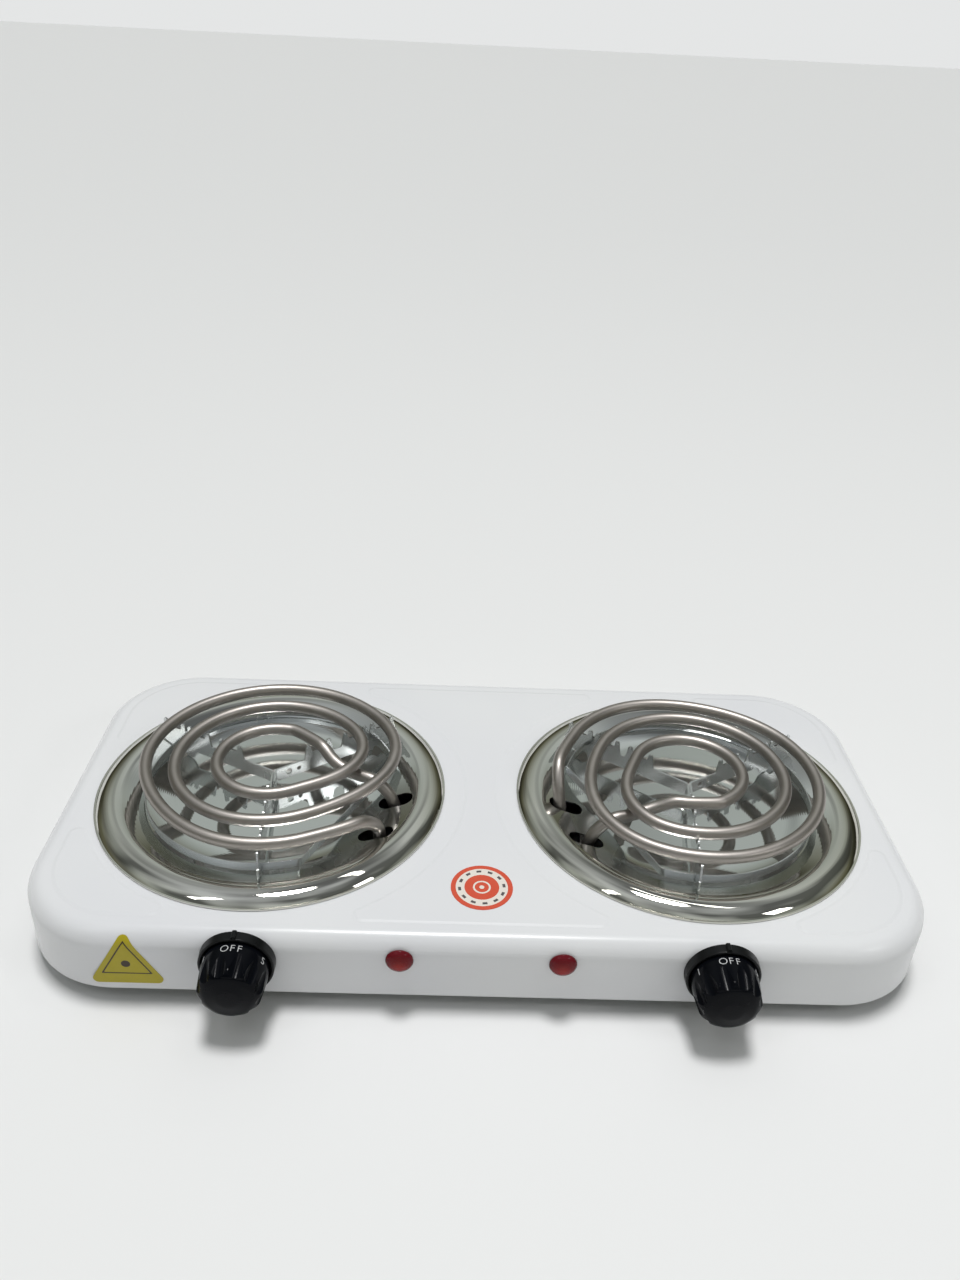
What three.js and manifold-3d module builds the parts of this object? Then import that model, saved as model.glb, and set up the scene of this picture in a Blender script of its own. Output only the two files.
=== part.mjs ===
// Twin-coil electric hot plate: two tubular heating coils on leg-and-hoop supports, each over a
// polished drip pan, in a pressed-steel housing with two thermostat knobs and two pilot lamps.
// Millimetres, +Z up, X to the right, front towards -Y. The origin is on the table, under the
// middle of the overall box.
import * as THREE from "three";
import { mergeVertices } from "three/addons/utils/BufferGeometryUtils.js";
import Module from "manifold-3d";

const wasm = await Module();
wasm.setup();

// ---- driving dimensions ----
const HOUSING_LENGTH = 439;
const HOUSING_DEPTH = 221.6;
const CORNER_R = 49.5;
const TOP_FILLET = 8.8;
const SHEET = 1;
const TOP_Z = 42; // top plane of the housing
const HEM_Z = 8; // lower edge of the housing walls
const FLANGE = 10; // in-turned flange under the walls
const GAP = 0.3; // air between touching pieces

const KNOB_REACH = 24; // knob tip to front wall
const GLAND_REACH = 4; // cable gland to rear wall
const HOUSING_Y = (KNOB_REACH - GLAND_REACH) / 2;
const FRONT_Y = HOUSING_Y - HOUSING_DEPTH / 2;
const REAR_Y = HOUSING_Y + HOUSING_DEPTH / 2;

const PAN_X = 111.5; // pan centres, left and right
const PAN_Y = HOUSING_Y - 2.6;
const PAN_R = 92;
const PAN_SHEET = 0.7;
const PAN_FLOOR_R = 73.5;
const PAN_FLOOR_Z = TOP_Z - 2.3; // top face of the pan floor
const PAN_HOLE_R = 80;
const SLOT_LENGTH = 18;
const SLOT_WIDTH = 10.4;
const SLOTS = [[55.7, -35.2], [64.9, -9.4]]; // front and rear slot, on the left pan

const TUBE_R = 3.25;
const COIL_Z = TOP_Z + 19; // axis of the flat spiral
const TURN_R = [67.3, 50, 29.5]; // outer, middle and inner turn
const STEP_AT = [-378, -735]; // angles about which the tube steps in to the next turn
const STEP_WIDTH = 105;
const FLAT_AT = -145; // the outer turn is a little flattened here
const FLAT_DEPTH = 4;
const SPIRAL_FROM = -62;
const SPIRAL_TO = -1010;
const RIGHT_COIL_TURN = -140.6; // the right coil is the left one, turned by this

const LEG_T = 1;
const LEG_END = 76.6;
const LEG_LOW = TOP_Z + 3.6;
const LEG_TOP = TOP_Z + 11;
const PRONG_TIP = COIL_Z + 0.4;
const SEAT_HALF = 5.2;
const PRONG = 2.6;
const LEG_ANGLES = { left: [152, -86, 35], right: [145, -96, 30] }; // folded pair, then single leg
const HOOP_R = 66;
const HOOP_T = 0.7;
const HOOP_Z = [TOP_Z + 1.6, TOP_Z + 6.4];
const HOOP_ARC = 275; // the rest of the ring is one straight side
const HOOP_ARC_FROM = { left: 16, right: -111 };

const KNOB_X = 110.7;
const KNOB_Z = TOP_Z - 12.7;
const KNOB_R = 15.2;
const BEZEL_R = 17.4;
const BEZEL_DEPTH = 5.3;
const SHAFT_R = 3;
const FLUTES = 12;
const LAMP_X = 37.4;
const LAMP_Z = TOP_Z - 11;
const GLAND_X = 60;
const GLAND_Z = TOP_Z - 20;

const PLATE_T = 1;
const PLATE_Z = HEM_Z - GAP - PLATE_T; // under face of the bottom plate
const FOOT_H = PLATE_Z - GAP;
const FOOT_R = 9;
const FOOT_XY = [182, 78]; // from the middle of the housing
const PLATE_SCREW_XY = [120, HOUSING_DEPTH / 2 - 5.4];

const SIDES = { left: -1, right: 1 };
const rad = THREE.MathUtils.degToRad;

// ---- materials ----
const finish = (color, roughness, metalness) =>
  new THREE.MeshStandardMaterial({ color, roughness, metalness });
const enamel = finish(0xe6e7ea, 0.25, 0);
const mirrorSteel = finish(0xc9cac8, 0.06, 1);
const coilSheath = finish(0x7d766c, 0.35, 1);
const zincStrip = finish(0xb9bfc0, 0.22, 1);
const zincPlate = finish(0xa9adae, 0.4, 1);
const blackPlastic = finish(0x0d0f12, 0.2, 0);
const rubber = finish(0x1c1c1c, 0.8, 0);
const redLens = finish(0xd02818, 0.1, 0);
const lampGlass = finish(0xe8c8a8, 0.15, 0);
const ceramic = finish(0xe9e3d6, 0.5, 0);
const brownBody = finish(0x3a2a20, 0.5, 0);
const wireSleeve = finish(0xd8d4c8, 0.6, 0);
const labelRed = finish(0xd6452c, 0.5, 0);
const labelYellow = finish(0xe8c21c, 0.5, 0);

// ---- solids ----
function solid(geometry) {
  const bare = geometry.clone();
  bare.deleteAttribute("normal");
  bare.deleteAttribute("uv");
  const merged = mergeVertices(bare, 1e-4);
  const made = new wasm.Manifold(
    new wasm.Mesh({
      numProp: 3,
      vertProperties: merged.attributes.position.array,
      triVerts: new Uint32Array(merged.index.array),
    }),
  );
  return made;
}

function geometryOf(made) {
  const { vertProperties, triVerts } = made.getMesh();
  const geometry = new THREE.BufferGeometry();
  geometry.setAttribute("position", new THREE.BufferAttribute(vertProperties, 3));
  geometry.setIndex(new THREE.BufferAttribute(triVerts, 1));
  geometry.computeVertexNormals();
  return geometry;
}

const join = (first, ...others) =>
  geometryOf(others.reduce((sum, other) => sum.add(solid(other)), solid(first)));
const cut = (first, ...others) =>
  geometryOf(others.reduce((rest, other) => rest.subtract(solid(other)), solid(first)));
const common = (first, second) => geometryOf(solid(first).intersect(solid(second)));

// A solid of revolution about Z from a profile of [radius, height] points, in either order.
function turned(profile, segments) {
  const ring = [...profile, profile[0]];
  const area = ring.slice(1).reduce((sum, [r, z], i) => sum + ring[i][0] * z - r * ring[i][1], 0);
  const ordered = area > 0 ? profile : [...profile].reverse();
  const closed = profile[0][0] === 0 ? ordered : [...ordered, ordered[0]];
  const points = closed.map(([r, z]) => new THREE.Vector2(r, z));
  return new THREE.LatheGeometry(points, segments).rotateX(Math.PI / 2);
}

const post = (radius, low, high, segments = 16) =>
  turned([[0, low], [radius, low], [radius, high], [0, high]], segments);

// The same solids along Y, with heights counted from the front towards the rear.
const alongY = (geometry) => geometry.rotateX(-Math.PI / 2);

function box(low, high) {
  const size = high.map((value, i) => value - low[i]);
  const middle = high.map((value, i) => (value + low[i]) / 2);
  return new THREE.BoxGeometry(...size).translate(...middle);
}

function prism(shape, low, high, curveSegments = 4) {
  const depth = high - low;
  return new THREE.ExtrudeGeometry(shape, { depth, bevelEnabled: false, curveSegments })
    .translate(0, 0, low);
}

function polygon(points) {
  return new THREE.Shape(points.map(([x, y]) => new THREE.Vector2(x, y)));
}

function roundedRectangle(length, depth, radius) {
  const x = length / 2 - radius;
  const y = depth / 2 - radius;
  const shape = new THREE.Shape();
  shape.absarc(x, -y, radius, -Math.PI / 2, 0);
  shape.absarc(x, y, radius, 0, Math.PI / 2);
  shape.absarc(-x, y, radius, Math.PI / 2, Math.PI);
  shape.absarc(-x, -y, radius, Math.PI, Math.PI * 1.5);
  shape.closePath();
  return shape;
}

function slotOutline(x, y, length, width) {
  const half = (length - width) / 2;
  const shape = new THREE.Shape();
  shape.absarc(x + half, y, width / 2, -Math.PI / 2, Math.PI / 2);
  shape.absarc(x - half, y, width / 2, Math.PI / 2, Math.PI * 1.5);
  shape.closePath();
  return shape;
}

// A round bar swept along points: its ends are flat and square to the path.
function bar(points, radius, sides, steps) {
  const section = polygon(
    Array.from({ length: sides }, (_, i) => {
      const turn = ((i + 0.5) / sides) * Math.PI * 2;
      return [radius * Math.cos(turn), radius * Math.sin(turn)];
    }),
  );
  const extrudePath = new THREE.CatmullRomCurve3(points.map((p) => new THREE.Vector3(...p)));
  return new THREE.ExtrudeGeometry(section, { steps, extrudePath, bevelEnabled: false });
}

// ---- scene graph ----
const hotPlate = new THREE.Group();

function addMesh(name, geometry, material, x = 0, y = 0, z = 0) {
  const mesh = new THREE.Mesh(geometry, material);
  mesh.name = name;
  mesh.position.set(x, y, z);
  hotPlate.add(mesh);
  return mesh;
}

// ---- housing ----
// A block with rounded top edges, from which the inside is a smaller copy of the outside.
function roundedBlock(inset, low, high) {
  const fillet = TOP_FILLET - inset;
  const outline = roundedRectangle(
    HOUSING_LENGTH - 2 * inset,
    HOUSING_DEPTH - 2 * inset,
    CORNER_R - inset,
  );
  const block = new THREE.ExtrudeGeometry(outline, {
    depth: high - low,
    bevelThickness: fillet,
    bevelSize: fillet,
    bevelOffset: -fillet,
    bevelSegments: 3,
    curveSegments: 6,
  }).translate(0, HOUSING_Y, low - fillet);
  const [reachX, reachY] = [HOUSING_LENGTH, HOUSING_DEPTH * 2];
  const lower = box([-reachX, -reachY, low], [reachX, reachY, high]);
  return common(block, lower);
}

function plateScrewPlaces() {
  const [x, y] = PLATE_SCREW_XY;
  return [[-x, -y], [x, -y], [-x, y], [x, y]].map(([u, v]) => [u, HOUSING_Y + v]);
}

function footPlaces() {
  const [x, y] = FOOT_XY;
  return [[-x, -y], [x, -y], [-x, y], [x, y]].map(([u, v]) => [u, HOUSING_Y + v]);
}

const THERMOSTAT_SCREW_X = 10.4;
const WALL_SCREW_HOLE_R = 1.7;

function makeHousing() {
  const opening = roundedRectangle(
    HOUSING_LENGTH - 2 * FLANGE,
    HOUSING_DEPTH - 2 * FLANGE,
    CORNER_R - FLANGE,
  );
  const cutters = [
    roundedBlock(SHEET, HEM_Z + SHEET, TOP_Z - SHEET),
    prism(opening, HEM_Z - 1, HEM_Z + SHEET + 1, 6).translate(0, HOUSING_Y, 0),
    alongY(post(6.2, -2, 3, 16)).translate(GLAND_X, REAR_Y - 2, GLAND_Z),
  ];
  for (const side of Object.values(SIDES)) {
    cutters.push(post(PAN_HOLE_R, TOP_Z - 3, TOP_Z + 3, 36).translate(side * PAN_X, PAN_Y, 0));
    cutters.push(alongY(post(5.2, -3, 3, 12)).translate(side * KNOB_X, FRONT_Y, KNOB_Z));
    cutters.push(alongY(post(5.3, -3, 3, 12)).translate(side * LAMP_X, FRONT_Y, LAMP_Z));
    for (const end of [-THERMOSTAT_SCREW_X, THERMOSTAT_SCREW_X]) {
      const hole = alongY(post(WALL_SCREW_HOLE_R, -3, 3, 8));
      cutters.push(hole.translate(side * KNOB_X + end, FRONT_Y, KNOB_Z));
    }
  }
  for (const [x, y] of plateScrewPlaces()) {
    cutters.push(post(1.7, HEM_Z - 1, HEM_Z + SHEET + 1, 8).translate(x, y, 0));
  }
  return cut(roundedBlock(0, HEM_Z, TOP_Z), ...cutters);
}

addMesh("housing", makeHousing(), enamel);

// ---- bottom plate, feet and their screws ----
const PLATE_INSET = 2;
const VENT_SLOT = [44, 4];
const VENT_PITCH = 12;

function makeBottomPlate() {
  const outline = roundedRectangle(
    HOUSING_LENGTH - 2 * PLATE_INSET,
    HOUSING_DEPTH - 2 * PLATE_INSET,
    CORNER_R - PLATE_INSET,
  );
  for (const side of Object.values(SIDES)) {
    for (const row of [-1, 0, 1]) {
      outline.holes.push(slotOutline(side * PAN_X, row * VENT_PITCH, ...VENT_SLOT));
    }
  }
  const holeAt = (x, y, radius) => {
    const hole = new THREE.Path();
    hole.absarc(x, y - HOUSING_Y, radius, 0, Math.PI * 2);
    outline.holes.push(hole);
  };
  for (const [x, y] of plateScrewPlaces()) holeAt(x, y, 1.7);
  for (const [x, y] of footPlaces()) holeAt(x, y, 2);
  holeAt(GLAND_X, BLOCK_Y, 1.7);
  return prism(outline, PLATE_Z, PLATE_Z + PLATE_T, 4).translate(0, HOUSING_Y, 0);
}

const BLOCK_SIZE = [44, 18, 14];
const BLOCK_Y = REAR_Y - 30;

// A screw pointing up: its pan head's under side is at height 0, its shank above.
function screw(headR, headH, shankR, shankLength) {
  return turned(
    [
      [0, -headH],
      [headR * 0.7, -headH],
      [headR, -headH * 0.45],
      [headR, 0],
      [shankR, 0],
      [shankR, shankLength],
      [0, shankLength],
    ],
    8,
  );
}

addMesh("bottom_plate", makeBottomPlate(), zincPlate);

const FOOT_RECESS = [4.7, 3.6];
const footGeometry = turned(
  [
    [2, FOOT_H],
    [2, FOOT_RECESS[1]],
    [FOOT_RECESS[0], FOOT_RECESS[1]],
    [FOOT_RECESS[0], 0],
    [FOOT_R - 0.8, 0],
    [FOOT_R, 1],
    [FOOT_R - 1.2, FOOT_H],
  ],
  12,
);
const footScrewGeometry = screw(4.2, 2, 1.6, 9);
const PLACE_NAMES = ["front_left", "front_right", "rear_left", "rear_right"];
footPlaces().forEach(([x, y], i) => {
  addMesh("foot_" + PLACE_NAMES[i], footGeometry, rubber, x, y, 0);
  const screwZ = FOOT_RECESS[1] - GAP;
  addMesh("foot_screw_" + PLACE_NAMES[i], footScrewGeometry, zincPlate, x, y, screwZ);
});
const plateScrewGeometry = screw(3.2, 1.7, 1.4, 5.5);
plateScrewPlaces().forEach(([x, y], i) => {
  addMesh("plate_screw_" + PLACE_NAMES[i], plateScrewGeometry, zincPlate, x, y, PLATE_Z - GAP);
});

// ---- drip pans ----
// The top face from the middle outwards; the under face follows it one sheet lower.
function panProfile() {
  const top = [
    [2.3, PAN_FLOOR_Z],
    [PAN_FLOOR_R, PAN_FLOOR_Z],
    [76, TOP_Z - 1],
    [79, TOP_Z + 3.6],
    [82.2, TOP_Z + 5],
    [86, TOP_Z + 3.9],
    [89.5, TOP_Z + GAP + PAN_SHEET],
    [PAN_R, TOP_Z + GAP + PAN_SHEET],
  ];
  const under = [
    [PAN_R, TOP_Z + GAP],
    [89.1, TOP_Z + GAP],
    [85.6, TOP_Z + 3.3],
    [82.2, TOP_Z + 4.25],
    [79.6, TOP_Z + 3],
    [76.6, TOP_Z - 1.5],
    [PAN_FLOOR_R + 0.4, PAN_FLOOR_Z - PAN_SHEET],
    [2.3, PAN_FLOOR_Z - PAN_SHEET],
  ];
  return [...top, ...under];
}

function makePan(side) {
  const slots = SLOTS.map(([x, y]) => {
    const outline = slotOutline(-side * x, y, SLOT_LENGTH, SLOT_WIDTH);
    return prism(outline, PAN_FLOOR_Z - 3, PAN_FLOOR_Z + 1.2, 4);
  });
  return cut(turned(panProfile(), 36), ...slots);
}

// ---- heating coils ----
const easeStep = (x) => THREE.MathUtils.smootherstep(x, -0.5, 0.5);

function coilRadius(angle) {
  const steps = STEP_AT.map((at) => easeStep((at - angle) / STEP_WIDTH));
  const stepped = steps.reduce((r, s, i) => r + s * (TURN_R[i + 1] - TURN_R[i]), TURN_R[0]);
  const flat = FLAT_DEPTH * Math.exp(-(((angle - FLAT_AT) / 38) ** 2));
  const closing = 2 * easeStep((-890 - angle) / 260);
  return stepped - flat - closing;
}

// Terminals of the left coil about its pan centre: heights are above the housing's top plane.
const OUTER_TERMINAL = [
  [59.7, -36.2, -13],
  [59.7, -36.2, -6],
  [59.6, -36.4, -1],
  [58.9, -38.4, 6.5],
  [56.4, -42.6, 13],
  [51.8, -47.6, 17.8],
  [44.5, -53, 19],
];
const INNER_TERMINAL = [
  [20.5, 17.4, 19],
  [26, 11.7, 18.5],
  [32, 5.9, 14.5],
  [39.5, 1.5, 11.6],
  [46, -1.2, 10.8],
  [52.5, -3.8, 10.7],
  [58, -6, 8.4],
  [62.7, -7.9, 3.5],
  [65.4, -9, -2.5],
  [66, -9.2, -7],
  [66, -9.2, -13],
];

function coilPoints() {
  const spiral = [];
  for (let angle = SPIRAL_FROM; angle >= SPIRAL_TO; angle -= 12) {
    const r = coilRadius(angle);
    spiral.push([r * Math.cos(rad(angle)), r * Math.sin(rad(angle)), COIL_Z]);
  }
  const raised = (points) => points.map(([x, y, z]) => [x, y, TOP_Z + z]);
  return [...raised(OUTER_TERMINAL), ...spiral, ...raised(INNER_TERMINAL)];
}

const coilGeometry = bar(coilPoints(), TUBE_R, 8, 78);
const coilTurn = { left: 0, right: RIGHT_COIL_TURN };

// A ceramic bead with its contact pin, below each end of the tube.
const beadGeometry = turned(
  [[0, 0], [2.9, 0], [2.9, -4], [1.2, -4.6], [1.2, -9], [0, -9]],
  10,
);

// ---- leg supports ----
// The side of one leg: x runs outwards from the pan centre, y is the height.
function legShape(start, crossings) {
  const seat = COIL_Z - TUBE_R - 2 * GAP;
  const foot = PAN_FLOOR_Z + GAP;
  const notch = [HOOP_R - 1.2, HOOP_R + 1.2];
  const roof = HOOP_Z[1] + GAP;
  const points = [
    [start, LEG_LOW],
    [53, LEG_LOW],
    [55, foot],
    [60, foot],
    [62, LEG_LOW],
    [notch[0], LEG_LOW],
    [notch[0], roof],
    [notch[1], roof],
    [notch[1], LEG_LOW],
    [69.5, LEG_LOW],
    [71, foot],
    [72.8, foot],
    [75.2, TOP_Z - 0.7],
    [LEG_END, TOP_Z + 2],
    [LEG_END, LEG_TOP],
  ];
  const half = [SEAT_HALF + PRONG, SEAT_HALF + PRONG / 2, SEAT_HALF, SEAT_HALF - 0.5];
  const height = [PRONG_TIP - 1.2, PRONG_TIP, PRONG_TIP - 1.2, seat];
  for (const r of [...crossings].sort((a, b) => b - a)) {
    points.push([r + half[0], LEG_TOP]);
    half.forEach((offset, i) => points.push([r + offset, height[i]]));
    half.forEach((_, i) => points.push([r - half[3 - i], height[3 - i]]));
    points.push([r - half[0], LEG_TOP]);
  }
  points.push([start, LEG_TOP]);
  return polygon(points);
}

function leg(start, angle, crossings, holes = []) {
  const shape = legShape(start, crossings);
  for (const at of holes) {
    const hole = new THREE.Path();
    hole.absarc(at, (LEG_LOW + LEG_TOP) / 2, 1.3, 0, Math.PI * 2);
    shape.holes.push(hole);
  }
  return prism(shape, -LEG_T / 2, LEG_T / 2, 2)
    .rotateX(Math.PI / 2)
    .rotateZ(rad(angle));
}

// Where the coil's turns cross a leg: all its radii at that direction.
function crossingRadii(angle, turn) {
  const passes = [1, 0, -1, -2, -3].map((lap) => angle - turn + lap * 360);
  return passes.filter((a) => a <= SPIRAL_FROM + 20 && a >= SPIRAL_TO - 50).map(coilRadius);
}

const TAB_LENGTH = 9;
const TAB_OFFSET = LEG_T + 0.4;

function makeFoldedStrip(angles, turn) {
  const [first, second] = angles.map((angle) => leg(-0.4, angle, crossingRadii(angle, turn)));
  return join(first, second);
}

// The single leg ends in a tab that lies beside the folded strip's front leg.
function makeSingleLeg(angles, turn) {
  const plain = leg(1.6, angles[2], crossingRadii(angles[2], turn), [9, 15]);
  const tab = box(
    [-1.2, TAB_OFFSET - LEG_T / 2, LEG_LOW],
    [TAB_LENGTH, TAB_OFFSET + LEG_T / 2, LEG_TOP],
  ).rotateZ(rad(angles[1]));
  return join(plain, tab);
}

// A thin strip on edge, bent to a ring with one straight side.
function makeHoop(from) {
  const outline = (radius) => {
    const steps = 26;
    return Array.from({ length: steps + 1 }, (_, i) => {
      const turn = rad(from + (HOOP_ARC * i) / steps);
      return [radius * Math.cos(turn), radius * Math.sin(turn)];
    });
  };
  const shape = polygon(outline(HOOP_R + HOOP_T / 2));
  shape.holes.push(new THREE.Path(polygon(outline(HOOP_R - HOOP_T / 2)).getPoints()));
  return prism(shape, HOOP_Z[0], HOOP_Z[1]);
}

// ---- pan clamp: a strip under the pan that the centre screw pulls up against the housing ----
const CLAMP_T = 1.2;
const CLAMP_WIDTH = 14;
const CLAMP_HALF = 87;

function makeClampBar() {
  const low = PAN_FLOOR_Z - PAN_SHEET - GAP - CLAMP_T;
  const high = TOP_Z - SHEET - GAP - CLAMP_T;
  const knee = 77.5;
  const lower = [[-CLAMP_HALF, high], [-knee, high], [-knee + 2, low], [knee - 2, low], [knee, high]];
  const points = [...lower, [CLAMP_HALF, high]];
  const raised = [...points].reverse().map(([y, z]) => [y, z + CLAMP_T]);
  const strip = prism(polygon([...points, ...raised]), -CLAMP_WIDTH / 2, CLAMP_WIDTH / 2)
    .rotateX(Math.PI / 2)
    .rotateZ(Math.PI / 2);
  return cut(strip, post(2.3, low - 2, low + 4, 10));
}

const SUPPORT_SCREW_SHANK = 12;
// Head up: the same screw turned over.
const supportScrewGeometry = screw(4.4, 2.9, 1.9, SUPPORT_SCREW_SHANK).rotateX(Math.PI);

for (const [name, side] of Object.entries(SIDES)) {
  const x = side * PAN_X;
  const turn = coilTurn[name];
  addMesh("drip_pan_" + name, makePan(side), mirrorSteel, x, PAN_Y);
  addMesh("heating_coil_" + name, coilGeometry, coilSheath, x, PAN_Y).rotation.z = rad(turn);
  const angles = LEG_ANGLES[name];
  addMesh("support_strip_" + name, makeFoldedStrip(angles, turn), zincStrip, x, PAN_Y);
  addMesh("support_leg_" + name, makeSingleLeg(angles, turn), zincStrip, x, PAN_Y);
  addMesh("support_hoop_" + name, makeHoop(HOOP_ARC_FROM[name]), zincStrip, x, PAN_Y);
  const headZ = PAN_FLOOR_Z + GAP;
  addMesh("pan_screw_" + name, supportScrewGeometry, zincPlate, x, PAN_Y, headZ);
  addMesh("pan_clamp_bar_" + name, makeClampBar(), zincPlate, x, PAN_Y);
  for (const [end, points] of [["outer", OUTER_TERMINAL], ["inner", [...INNER_TERMINAL].reverse()]]) {
    const [tipX, tipY, tipZ] = points[0];
    const tip = new THREE.Vector3(tipX, tipY, TOP_Z + tipZ - GAP);
    tip.applyAxisAngle(new THREE.Vector3(0, 0, 1), rad(turn));
    const bead = addMesh("terminal_bead_" + name + "_" + end, beadGeometry, ceramic);
    bead.position.set(x + tip.x, PAN_Y + tip.y, tip.z);
  }
}

// ---- knobs, bezels, thermostats and lamps ----
const KNOB_BACK = 1.8; // knob's rear edge in front of the wall
const BEZEL_BASE = 1.2;
const HUB_R = 5;
const BORE_DEPTH = 15;

// Rings of a fluted grip: distance in front of the wall, radius, depth of the flutes.
const GRIP_RINGS = [
  [KNOB_BACK, 15.2, 0],
  [10, 15.2, 0],
  [15, 14.9, 0.4],
  [19.5, 14.5, 1.3],
  [21.4, 13.8, 1.2],
  [23, 10, 0.3],
];

function flutedRing([reach, radius, flute], count) {
  return Array.from({ length: count }, (_, i) => {
    const turn = (i / count) * Math.PI * 2;
    const r = radius - (flute * (1 - Math.cos(FLUTES * turn))) / 2;
    return [r * Math.cos(turn), r * Math.sin(turn), reach];
  });
}

// Closed skin through rings of equal count, with a point at each end.
function skinOf(rings, startPoint, endPoint) {
  const count = rings[0].length;
  const positions = [...rings.flat(), startPoint, endPoint];
  const faces = [];
  for (let i = 0; i < count; i++) {
    const next = (i + 1) % count;
    for (let k = 0; k + 1 < rings.length; k++) {
      const a = k * count;
      const b = a + count;
      faces.push([a + i, a + next, b + next], [a + i, b + next, b + i]);
    }
    const last = (rings.length - 1) * count;
    faces.push([positions.length - 2, next, i], [positions.length - 1, last + i, last + next]);
  }
  const geometry = new THREE.BufferGeometry();
  geometry.setAttribute("position", new THREE.Float32BufferAttribute(positions.flat(), 3));
  geometry.setIndex(faces.flat());
  return geometry;
}

// Built standing on the wall plane with +Z out of it, then laid over to point to the front.
const outward = (geometry) => geometry.rotateX(Math.PI / 2);

function makeKnob() {
  const rings = GRIP_RINGS.map((ring) => flutedRing(ring, 36));
  const grip = skinOf(rings, [0, 0, KNOB_BACK], [0, 0, KNOB_REACH]);
  const recess = turned(
    [[HUB_R, 0], [KNOB_R - 1.4, 0], [KNOB_R - 2.2, KNOB_BACK + 5], [HUB_R, KNOB_BACK + 5]],
    20,
  );
  const bore = post(SHAFT_R + GAP, 0, BORE_DEPTH, 12);
  return outward(cut(grip, recess, bore));
}

function makeBezel() {
  const ring = turned(
    [
      [6, GAP],
      [BEZEL_R, GAP],
      [BEZEL_R, BEZEL_DEPTH - 0.6],
      [BEZEL_R - 0.5, BEZEL_DEPTH],
      [BEZEL_R - 1.5, BEZEL_DEPTH],
      [BEZEL_R - 1.5, BEZEL_BASE],
      [6, BEZEL_BASE],
    ],
    32,
  );
  const tick = box([-1.1, BEZEL_R - 1, 1], [1.1, BEZEL_R + 1.1, BEZEL_DEPTH - 0.3]);
  const holes = [-1, 1].map((end) =>
    post(WALL_SCREW_HOLE_R, -1, 3, 8).translate(end * THERMOSTAT_SCREW_X, 0, 0));
  return outward(cut(join(ring, tick), ...holes));
}

const SHAFT_TIP = BORE_DEPTH - 1;
const THERMOSTAT_DEPTH = 15;

function makeShaft() {
  const shaft = post(SHAFT_R, -(SHEET + GAP + THERMOSTAT_DEPTH + 3), SHAFT_TIP, 12);
  const flat = box([-4, SHAFT_R - 0.9, 5], [4, SHAFT_R + 1, SHAFT_TIP + 1]);
  return outward(cut(shaft, flat));
}

// A ceramic switch body on a mounting plate, bored for the shaft, with two contact blades.
function makeThermostat() {
  const back = -(SHEET + GAP);
  const mount = box([-15, -9.5, back - 1.2], [15, 3.5, back]);
  const neck = post(5.4, back - 4, back - 1, 12);
  const body = post(9.2, back - THERMOSTAT_DEPTH, back - 3, 16);
  const block = box([-9, -8.5, back - THERMOSTAT_DEPTH + 2], [9, 8.5, back - 3]);
  const blades = [-6, 6].map((x) =>
    box([x - 2, -12.5, back - THERMOSTAT_DEPTH + 4], [x + 2, -8, back - THERMOSTAT_DEPTH + 5]));
  const bore = post(SHAFT_R + GAP, back - THERMOSTAT_DEPTH - 1, back + 1, 12);
  const screwHoles = [-1, 1].map((end) =>
    post(WALL_SCREW_HOLE_R, back - 3, back + 1, 8).translate(end * THERMOSTAT_SCREW_X, 0, 0));
  return outward(cut(join(mount, neck, body, block, ...blades), bore, ...screwHoles));
}

const thermostatScrewGeometry = outward(
  screw(2.4, 1.5, 1.3, 5).rotateX(Math.PI),
);

// A domed lens whose barrel goes through the wall, open at the rear for the neon lamp.
function makeLens() {
  return outward(
    turned(
      [
        [0, 3.9],
        [3.4, 3.4],
        [5.6, 2.2],
        [6.4, 1.2],
        [6.4, GAP],
        [4.8, GAP],
        [4.8, -9],
        [3.7, -9],
        [3.7, 0.6],
        [0, 1.4],
      ],
      20,
    ),
  );
}

function makeLamp() {
  return outward(
    turned([[0, -1], [2.2, -1.6], [3, -3], [3, -9.4], [4.6, -9.4], [4.6, -17], [0, -17]], 12),
  );
}

const knobGeometry = makeKnob();
const bezelGeometry = makeBezel();
const shaftGeometry = makeShaft();
const thermostatGeometry = makeThermostat();
const lensGeometry = makeLens();
const lampGeometry = makeLamp();

for (const [name, side] of Object.entries(SIDES)) {
  const x = side * KNOB_X;
  addMesh("knob_" + name, knobGeometry, blackPlastic, x, FRONT_Y, KNOB_Z);
  addMesh("knob_bezel_" + name, bezelGeometry, blackPlastic, x, FRONT_Y, KNOB_Z);
  addMesh("thermostat_shaft_" + name, shaftGeometry, zincPlate, x, FRONT_Y, KNOB_Z);
  addMesh("thermostat_" + name, thermostatGeometry, brownBody, x, FRONT_Y, KNOB_Z);
  for (const [end, offset] of [["left", -THERMOSTAT_SCREW_X], ["right", THERMOSTAT_SCREW_X]]) {
    const screwName = "thermostat_screw_" + name + "_" + end;
    const screwY = FRONT_Y - BEZEL_BASE - GAP;
    addMesh(screwName, thermostatScrewGeometry, zincPlate, x + offset, screwY, KNOB_Z);
  }
  addMesh("lamp_lens_" + name, lensGeometry, redLens, side * LAMP_X, FRONT_Y, LAMP_Z);
  addMesh("neon_lamp_" + name, lampGeometry, lampGlass, side * LAMP_X, FRONT_Y, LAMP_Z);
}

// ---- cable gland and terminal block ----
const glandGeometry = alongY(
  turned(
    [
      [3.8, -9],
      [5.9, -9],
      [5.9, GAP],
      [9, GAP],
      [9, 1.8],
      [6.4, GLAND_REACH],
      [3.8, GLAND_REACH],
    ],
    16,
  ),
);
addMesh("cable_gland", glandGeometry, rubber, GLAND_X, REAR_Y, GLAND_Z);

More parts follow.
